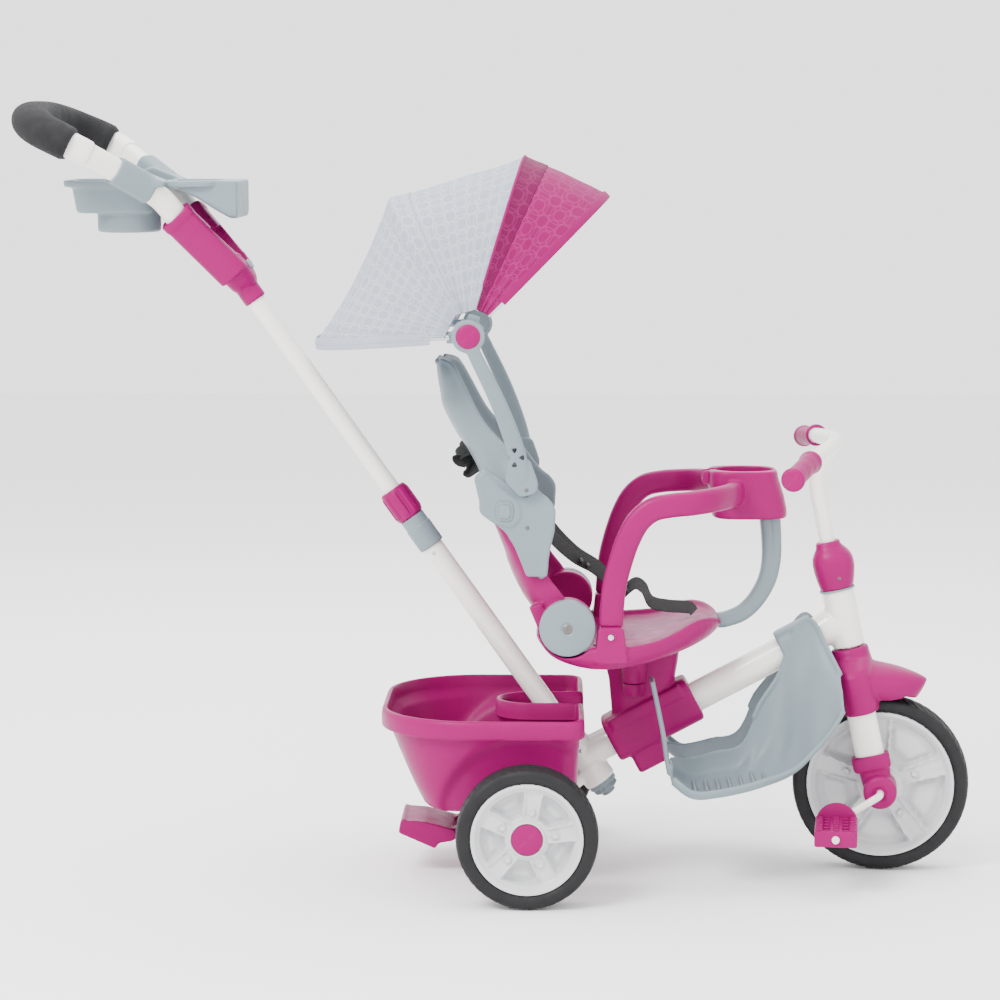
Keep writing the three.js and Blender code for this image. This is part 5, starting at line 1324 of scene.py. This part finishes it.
def cloth_grid(keys, rows_each, sag, cols=121, first=0.0, last=0.0, lift=0.0):
    """Rows of cloth from bow to bow, drawn in between, with soft folds running to the hubs.

    lift raises the whole layer, for a second cloth sewn over the first.
    """
    lines = [bow_line(crown, cols, 4.6) for crown in keys]
    total = len(keys) - 1
    grid = []
    for k in spread(rows_each * total + 1, first, total - last):
        i = min(int(k), total - 1)
        t = k - i
        row = []
        for j in range(cols):
            p = lines[i][j].lerp(lines[i + 1][j], t)
            across_share = j / (cols - 1)
            away = min(across_share, 1 - across_share) * 2
            span = (lines[i][j] - lines[i + 1][j]).length
            out = Vector((p.x - HUB.x, 0, p.z - HUB.z)).normalized()
            side = Vector((0, p.y / 185, 0)) * (1 - step(0.25, 0.75, away))
            normal = (out * step(0.1, 0.6, away) + side).normalized()
            belly = 4 * t * (1 - t)
            ridge = math.exp(-((min(t, 1 - t) * span) / 7) ** 2)
            p = p - normal * (sag[i] * span * belly) + normal * (1.2 * ridge + lift)
            fold = noise.noise(Vector((across_share * 7, k * 2.6, 3.1))) * 3.2
            fold += math.sin(across_share * 60 + 5 * noise.noise(Vector((k * 2, across_share * 3,
                9)))) * 0.7
            near_hub = 1 - step(0.05, 0.22, away)
            fold += near_hub * math.sin(k * 22 + across_share * 9) * 1.4
            row.append(p + normal * fold * min(belly, 1) * 0.9)
        grid.append(row)
    return grid


def thin_sheet(name, grid):
    """A thin sheet from a grid, with its own lengthwise and crosswise coordinates for the print."""
    rows, cols = len(grid), len(grid[0])
    obj = mesh_object(name, ([p for row in grid for p in row], [
        [i * cols + j, i * cols + j + 1, (i + 1) * cols + j + 1, (i + 1) * cols + j]
        for i in range(rows - 1) for j in range(cols - 1)
    ]), STILL)
    mid = cols // 2
    u = [0.0]
    for j in range(1, cols):
        u.append(u[-1] + sum((grid[i][j] - grid[i][j - 1]).length for i in (0, rows // 2, rows - 1)) / 3000)
    v = [0.0]
    for i in range(1, rows):
        v.append(v[-1] + (grid[i][mid] - grid[i - 1][mid]).length / 1000)
    layer = obj.data.uv_layers.new(name="cloth")
    place = {}
    for i in range(rows):
        for j in range(cols):
            p = STILL @ grid[i][j]
            place[(round(p.x, 5), round(p.y, 5), round(p.z, 5))] = (u[j], v[i])
    for loop in obj.data.loops:
        c = obj.data.vertices[loop.vertex_index].co
        layer.data[loop.index].uv = place[(round(c.x, 5), round(c.y, 5), round(c.z, 5))]
    thick = obj.modifiers.new("thick", "SOLIDIFY")
    thick.thickness = 0.0009
    thick.offset = 0
    smooth = obj.modifiers.new("round", "SUBSURF")
    smooth.levels = smooth.render_levels = 1
    applied(obj)
    obj.data.shade_smooth()
    return obj


def strip(name, grid, paint):
    """A second layer of cloth sewn over the first."""
    obj = thin_sheet(name, grid)
    obj.data.materials.append(paint)
    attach(obj, "canopy")
    return obj


def cloth(name, grid, paint, node):
    obj = strip(name, grid, paint)
    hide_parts(node)
    return obj


def trim(name, line, size, slot, paint, side):
    """A folded hem or piping along an edge of cloth."""
    return piece(name, sweep(line, size, side, len(line) * 2, 3, 12), "canopy", slot, paint)


REAR_SAG, FRONT_SAG = (0.03, 0.012), (-0.03,)
rear_grid = cloth_grid(BOWS[:3], 22, REAR_SAG, last=0.006)
front_grid = cloth_grid(BOWS[2:], 22, FRONT_SAG, first=0.006)
channel = cloth_grid(BOWS[:3], 5, REAR_SAG, first=0.93, last=0.86, lift=0.9)
# painted shade: a strip of darker pink cloth laid beside the seam bow, where the fold is in shadow
painted_shade_rows = cloth_grid(BOWS[2:], 8, FRONT_SAG, first=0.006, last=0.73, lift=0.9)
rear_band = cloth_grid(BOWS[:3], 4, REAR_SAG, first=0.0, last=1.90, lift=0.9)
hem_rear = trim("hem_rear", [p.copy() for p in rear_grid[0][2:-2:3]], (1.2, 7), "grey_cloth", grey_cloth, Z)
piping = trim("seam_piping", [p + (p - HUB).normalized() * 0.6 for p in front_grid[0][3:-3:3]], (1.6, 1.6),
    "pink_cloth", pink_cloth, Z)
hem_front = trim("hem_front", [p.copy() for p in front_grid[-1][2:-2:3]], (1.3, 5), "pink_cloth",
    pink_cloth,
                 Vector((-0.7, 0, 0.7)))
for name, rows, slot, paint in (("channel", channel, "grey_cloth", grey_cloth),
    ("hem_band", rear_band, "grey_cloth", grey_cloth),
                                ("painted_shade_band", painted_shade_rows, "pink_cloth", pink_painted_shade)):
    strip(name, rows, paint)
    for n, row in enumerate((rows[0], rows[-1])):
        stitch = [p.copy() for p in row[3:-3:2]]
        trim(f"{name}_seam_{n}", stitch, (0.8, 0.9), slot, paint,
            Z if slot == "grey_cloth" else Vector((-0.7, 0, 0.7)))
cloth("canopy_grey", rear_grid, grey_cloth, "canopy_rear")
cloth("canopy_pink", front_grid, pink_cloth, "canopy_front")

# ---------- arm ring ----------

RING = [(136.5, 150, 326), (138, 150, 350), (141, 150, 376), (148, 150, 404), (157, 150, 430),
    (169, 150, 452),
        (186, 150, 466), (208, 150, 471), (232, 146, 473), (256, 130, 475), (276, 98, 476), (286, 66, 476),
            (292, 40, 476)]
ring_parts = []
for s in (-1, 1):
    ring_parts.append(sweep([Vector((x, s * y, z)) for x, y, z in RING], (14.6, 10.4),
        Vector((0, 1, 0.001)), 90, 2.9, 40))
ring_parts.append(loft([
    oval(Vector((302 + lead, 0, z)), Vector((1, 0, 0)), Y, a, b, 3.3, 72)
    for z, lead, a, b in ((442, 8, 44, 42), (444, 8, 46, 44.6), (452, 7.4, 46.6, 46.4),
        (470, 4.6, 45.6, 47.6),
                          (490, 0, 43.6, 48.6), (499, -0.6, 42.6, 48.2), (501.4, -0.6, 41.2, 47.2))
]))
ring_parts.append(slab(rounded([(251, 484), (275, 482), (275, 500), (252, 500)], 3), -15, 15))
cup_hollow = lathe([(0.02, 0), (33, 0), (35.6, 2.4), (36.4, 70), (0.02, 70)], Vector((303, 0, 446.4)), Z,
    72)
finger = loft([oval(Vector((x, 0, 500)), Y, Z, 9.6, 11, 3, 28) for x in (246, 290)])
bar_room = block(325.6, 346.4, -12.4, 12.4, 420, 442.6)
piece("ring_body", merge(*ring_parts), "armrest", *PINK, ["arm_ring"], fuse=1.35, relax=6,
    cut=[cup_hollow, finger, bar_room])
BAR_LINE = [(336, 441), (338, 415), (338, 388), (333, 363), (320, 339), (303, 322), (284, 314), (272, 312)]
leg_bar = sweep([Vector((x, 0, z)) for x, z in BAR_LINE], lambda t: (13 - 3.4 * t, 15 - 4.4 * t), Y, 80,
    3.2, 40)
groove = [sweep([Vector((x, s * 15.6, z)) for x, z in BAR_LINE[:-1]], (2.2, 2.2), Y, 60, 2,
    12) for s in (-1, 1)]
piece("leg_bar", leg_bar, "armrest", *GREY, ["crotch_bar"], fuse=1.1, relax=3, cut=groove)
for s in (-1, 1):
    screw(f"ring_screw_{s + 1}", Vector((262, s * 127, 484)), Z, 2.6, "armrest")

# ---------- harness ----------


def strap(name, points, body, nodes=(), side=Y, half=9.5, folds=0.0):
    line = [Vector(p) for p in points]
    return piece(name, sweep(line, (0.8, half), side, 70, 5, 20), body, "black_webbing", strap_black, nodes,
        angle=50)


for tag, side in SIDES:
    points = [
        on_back(236, -28, side * 52), on_back(236, -10, side * 52), on_back(226, 0, side * 51),
            (36, side * 48, 466),
        (64, side * 38, 424), (92, side * 24, 396), (118, side * 14, 380), (134, side * 12, 366),
    ]
    made = strap(f"shoulder_web_{tag}", points, "backrest", [f"shoulder_strap_{tag}"],
        Vector((0.42, 0.66, 0.62)).normalized())
    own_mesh(made)
    tail = [(-36, side * 50, 513), (-46, side * 50, 516), (-50, side * 50, 522), (-43, side * 49, 529)]
    strap(f"strap_tail_{tag}", [on_back(214, -14, side * 50), on_back(214, -27, side * 50), *tail],
        "backrest",
          side=Vector((0.3, 0.6, 0.74)).normalized())
    slider = merge(
        loft([oval(Vector((100 + d, side * (19 - d * 0.25), 391 - d * 0.72)), Vector((0.5, 0, 0.86)), Y,
            2.6, 13, 5, 24) for d in (0, 4)]),
        loft([oval(Vector((108 + d, side * (17 - d * 0.25), 385.4 - d * 0.72)), Vector((0.5, 0, 0.86)), Y,
            2.6, 13, 5, 24) for d in (0, 4)]),
    )
    made = piece(f"strap_slider_{tag}", slider, "backrest", "black_webbing", buckle_black, bevel=0.6)
    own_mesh(made)
lap = merge(
    sweep([Vector((136, -30, 318)), Vector((141, -24, 340)), Vector((146, -16, 355)), Vector((151, 0, 362)),
        Vector((146, 16, 355)),
           Vector((141, 24, 340)), Vector((136, 30, 318))], (0.75, 8), Vector((1, 0, 0.2)), 60, 5, 16),
)
piece("lap_web", lap, "seat", "black_webbing", strap_black)
buckle_parts = loft([oval(Vector((134 + s * 0.7, 0, 372 - s * 0.72)), Vector((0.72, 0, 0.7)), Y, 5.6, b, 4,
    32) for s, b in
                     ((0, 9), (3, 16), (12, 17), (26, 16), (34, 11), (38, 9.6))])
piece("buckle", buckle_parts, "seat", "black_webbing", buckle_black, ["harness_buckle"], bevel=1.0)
piece("buckle_button", loft([oval(Vector((150 + h * 0.7, 0, 366 + h * 0.7)), Vector((0.72, 0, -0.7)), Y, 7,
    8, 3, 28) for h in (-1, 1.2)]),
      "seat", "black_webbing", buckle_black, bevel=0.5)
strap("crotch_web", [(158, 0, 350), (170, 0, 358), (180, 0, 352), (190, 0, 335), (210, 0, 330),
    (236, 0, 328), (243, 0, 322)], "seat",
      ["crotch_strap"], Vector((0.1, 0.72, 0.68)).normalized(), 10)

# ---------- brake ----------

foot_outline = rounded([(-121, 67), (-124, 51), (-78, 31), (-74, 38), (-56, 41), (-50, 47), (-54, 55),
    (-91, 65)], 3)
ribs = []
for n in range(5):
    x = -118 + 9.4 * n
    z = 66.4 - 0.24 * (x + 118) - 1.2
    ribs.append(slab(rounded([(x - 2.2, z - 4), (x + 2.2, z - 4.4), (x + 2.6, z + 2.6), (x - 1.8, z + 3.4)],
        1.2), -46.5, 46.5))
brake_parts = [slab(foot_outline, -48, 48), *ribs]
for s in (-1, 1):
    a0, a1 = sorted((s * 26, s * 44))
    brake_parts.append(slab(rounded([(-62, 54), (-62, 44), (-20, 54), (30, 72), (34, 84), (24, 84),
        (-20, 66)], 3), a0, a1))
    brake_parts.append(rod(Vector((AXLE.x, a0, AXLE.z)), Vector((AXLE.x, a1, AXLE.z)), 14.4, 48))
brake_cut = [rod(AXLE - Y * 60, AXLE + Y * 60, 9.4, 48), block(-3, 78, -60, 60, 90, 125)]
piece("brake_plate", merge(*brake_parts), "brake", *PINK, ["brake_pedal"], fuse=1.2, relax=2, cut=brake_cut)

# ---------- camera, light, floor ----------


def area(name, place, aim, size, power, tint=(1, 1, 1)):
    lamp = bpy.data.lights.new(name, "AREA")
    lamp.shape = "RECTANGLE"
    lamp.size, lamp.size_y = size
    lamp.energy = power
    lamp.color = tint
    obj = bpy.data.objects.new(name, lamp)
    bpy.context.scene.collection.objects.link(obj)
    obj.location = place
    obj.rotation_euler = (Vector(aim) - Vector(place)).to_track_quat("-Z", "Y").to_euler()


area("key", (-1.6, -2.2, 2.9), (0, 0, 0.45), (1.3, 1.3), 170, (1, 0.99, 0.98))
area("fill", (2.6, -2.4, 1.5), (0.1, 0, 0.4), (2.2, 2.0), 20)
area("top", (0.0, 0.6, 3.2), (0, 0, 0.3), (2.6, 2.2), 90)
area("back", (-0.8, 2.6, 2.0), (0, 0, 0.5), (2.4, 1.6), 20)
world = bpy.data.worlds.new("studio")
bpy.context.scene.world = world
world.use_nodes = True
world.node_tree.nodes["Background"].inputs[0].default_value = (1, 1, 1, 1)
world.node_tree.nodes["Background"].inputs[1].default_value = 2.3

floor_mesh = bpy.data.meshes.new("floor")
floor_mesh.from_pydata([(-9, -9, 0), (9, -9, 0), (9, 9, 0), (-9, 9, 0)], [], [(0, 1, 2, 3)])
floor = bpy.data.objects.new("floor", floor_mesh)
bpy.context.scene.collection.objects.link(floor)
pale = Nodes("floor_pale")
pale.set(base_color=(0.93, 0.93, 0.93, 1), roughness=0.9)
floor.data.materials.append(pale.material)

CAMERA_AT = Vector((74.5, -3493.8, 823.4))
CAMERA_AZIMUTH, CAMERA_PITCH = 1.2, 5.91
camera_data = bpy.data.cameras.new("camera")
camera_data.sensor_width = 36
camera_data.lens = 101.88
camera_data.clip_end = 50
camera = bpy.data.objects.new("camera", camera_data)
bpy.context.scene.collection.objects.link(camera)
camera.location = TO_FRAME @ CAMERA_AT
camera.rotation_euler = (math.radians(90 - CAMERA_PITCH), 0, math.radians(CAMERA_AZIMUTH))
bpy.context.scene.camera = camera
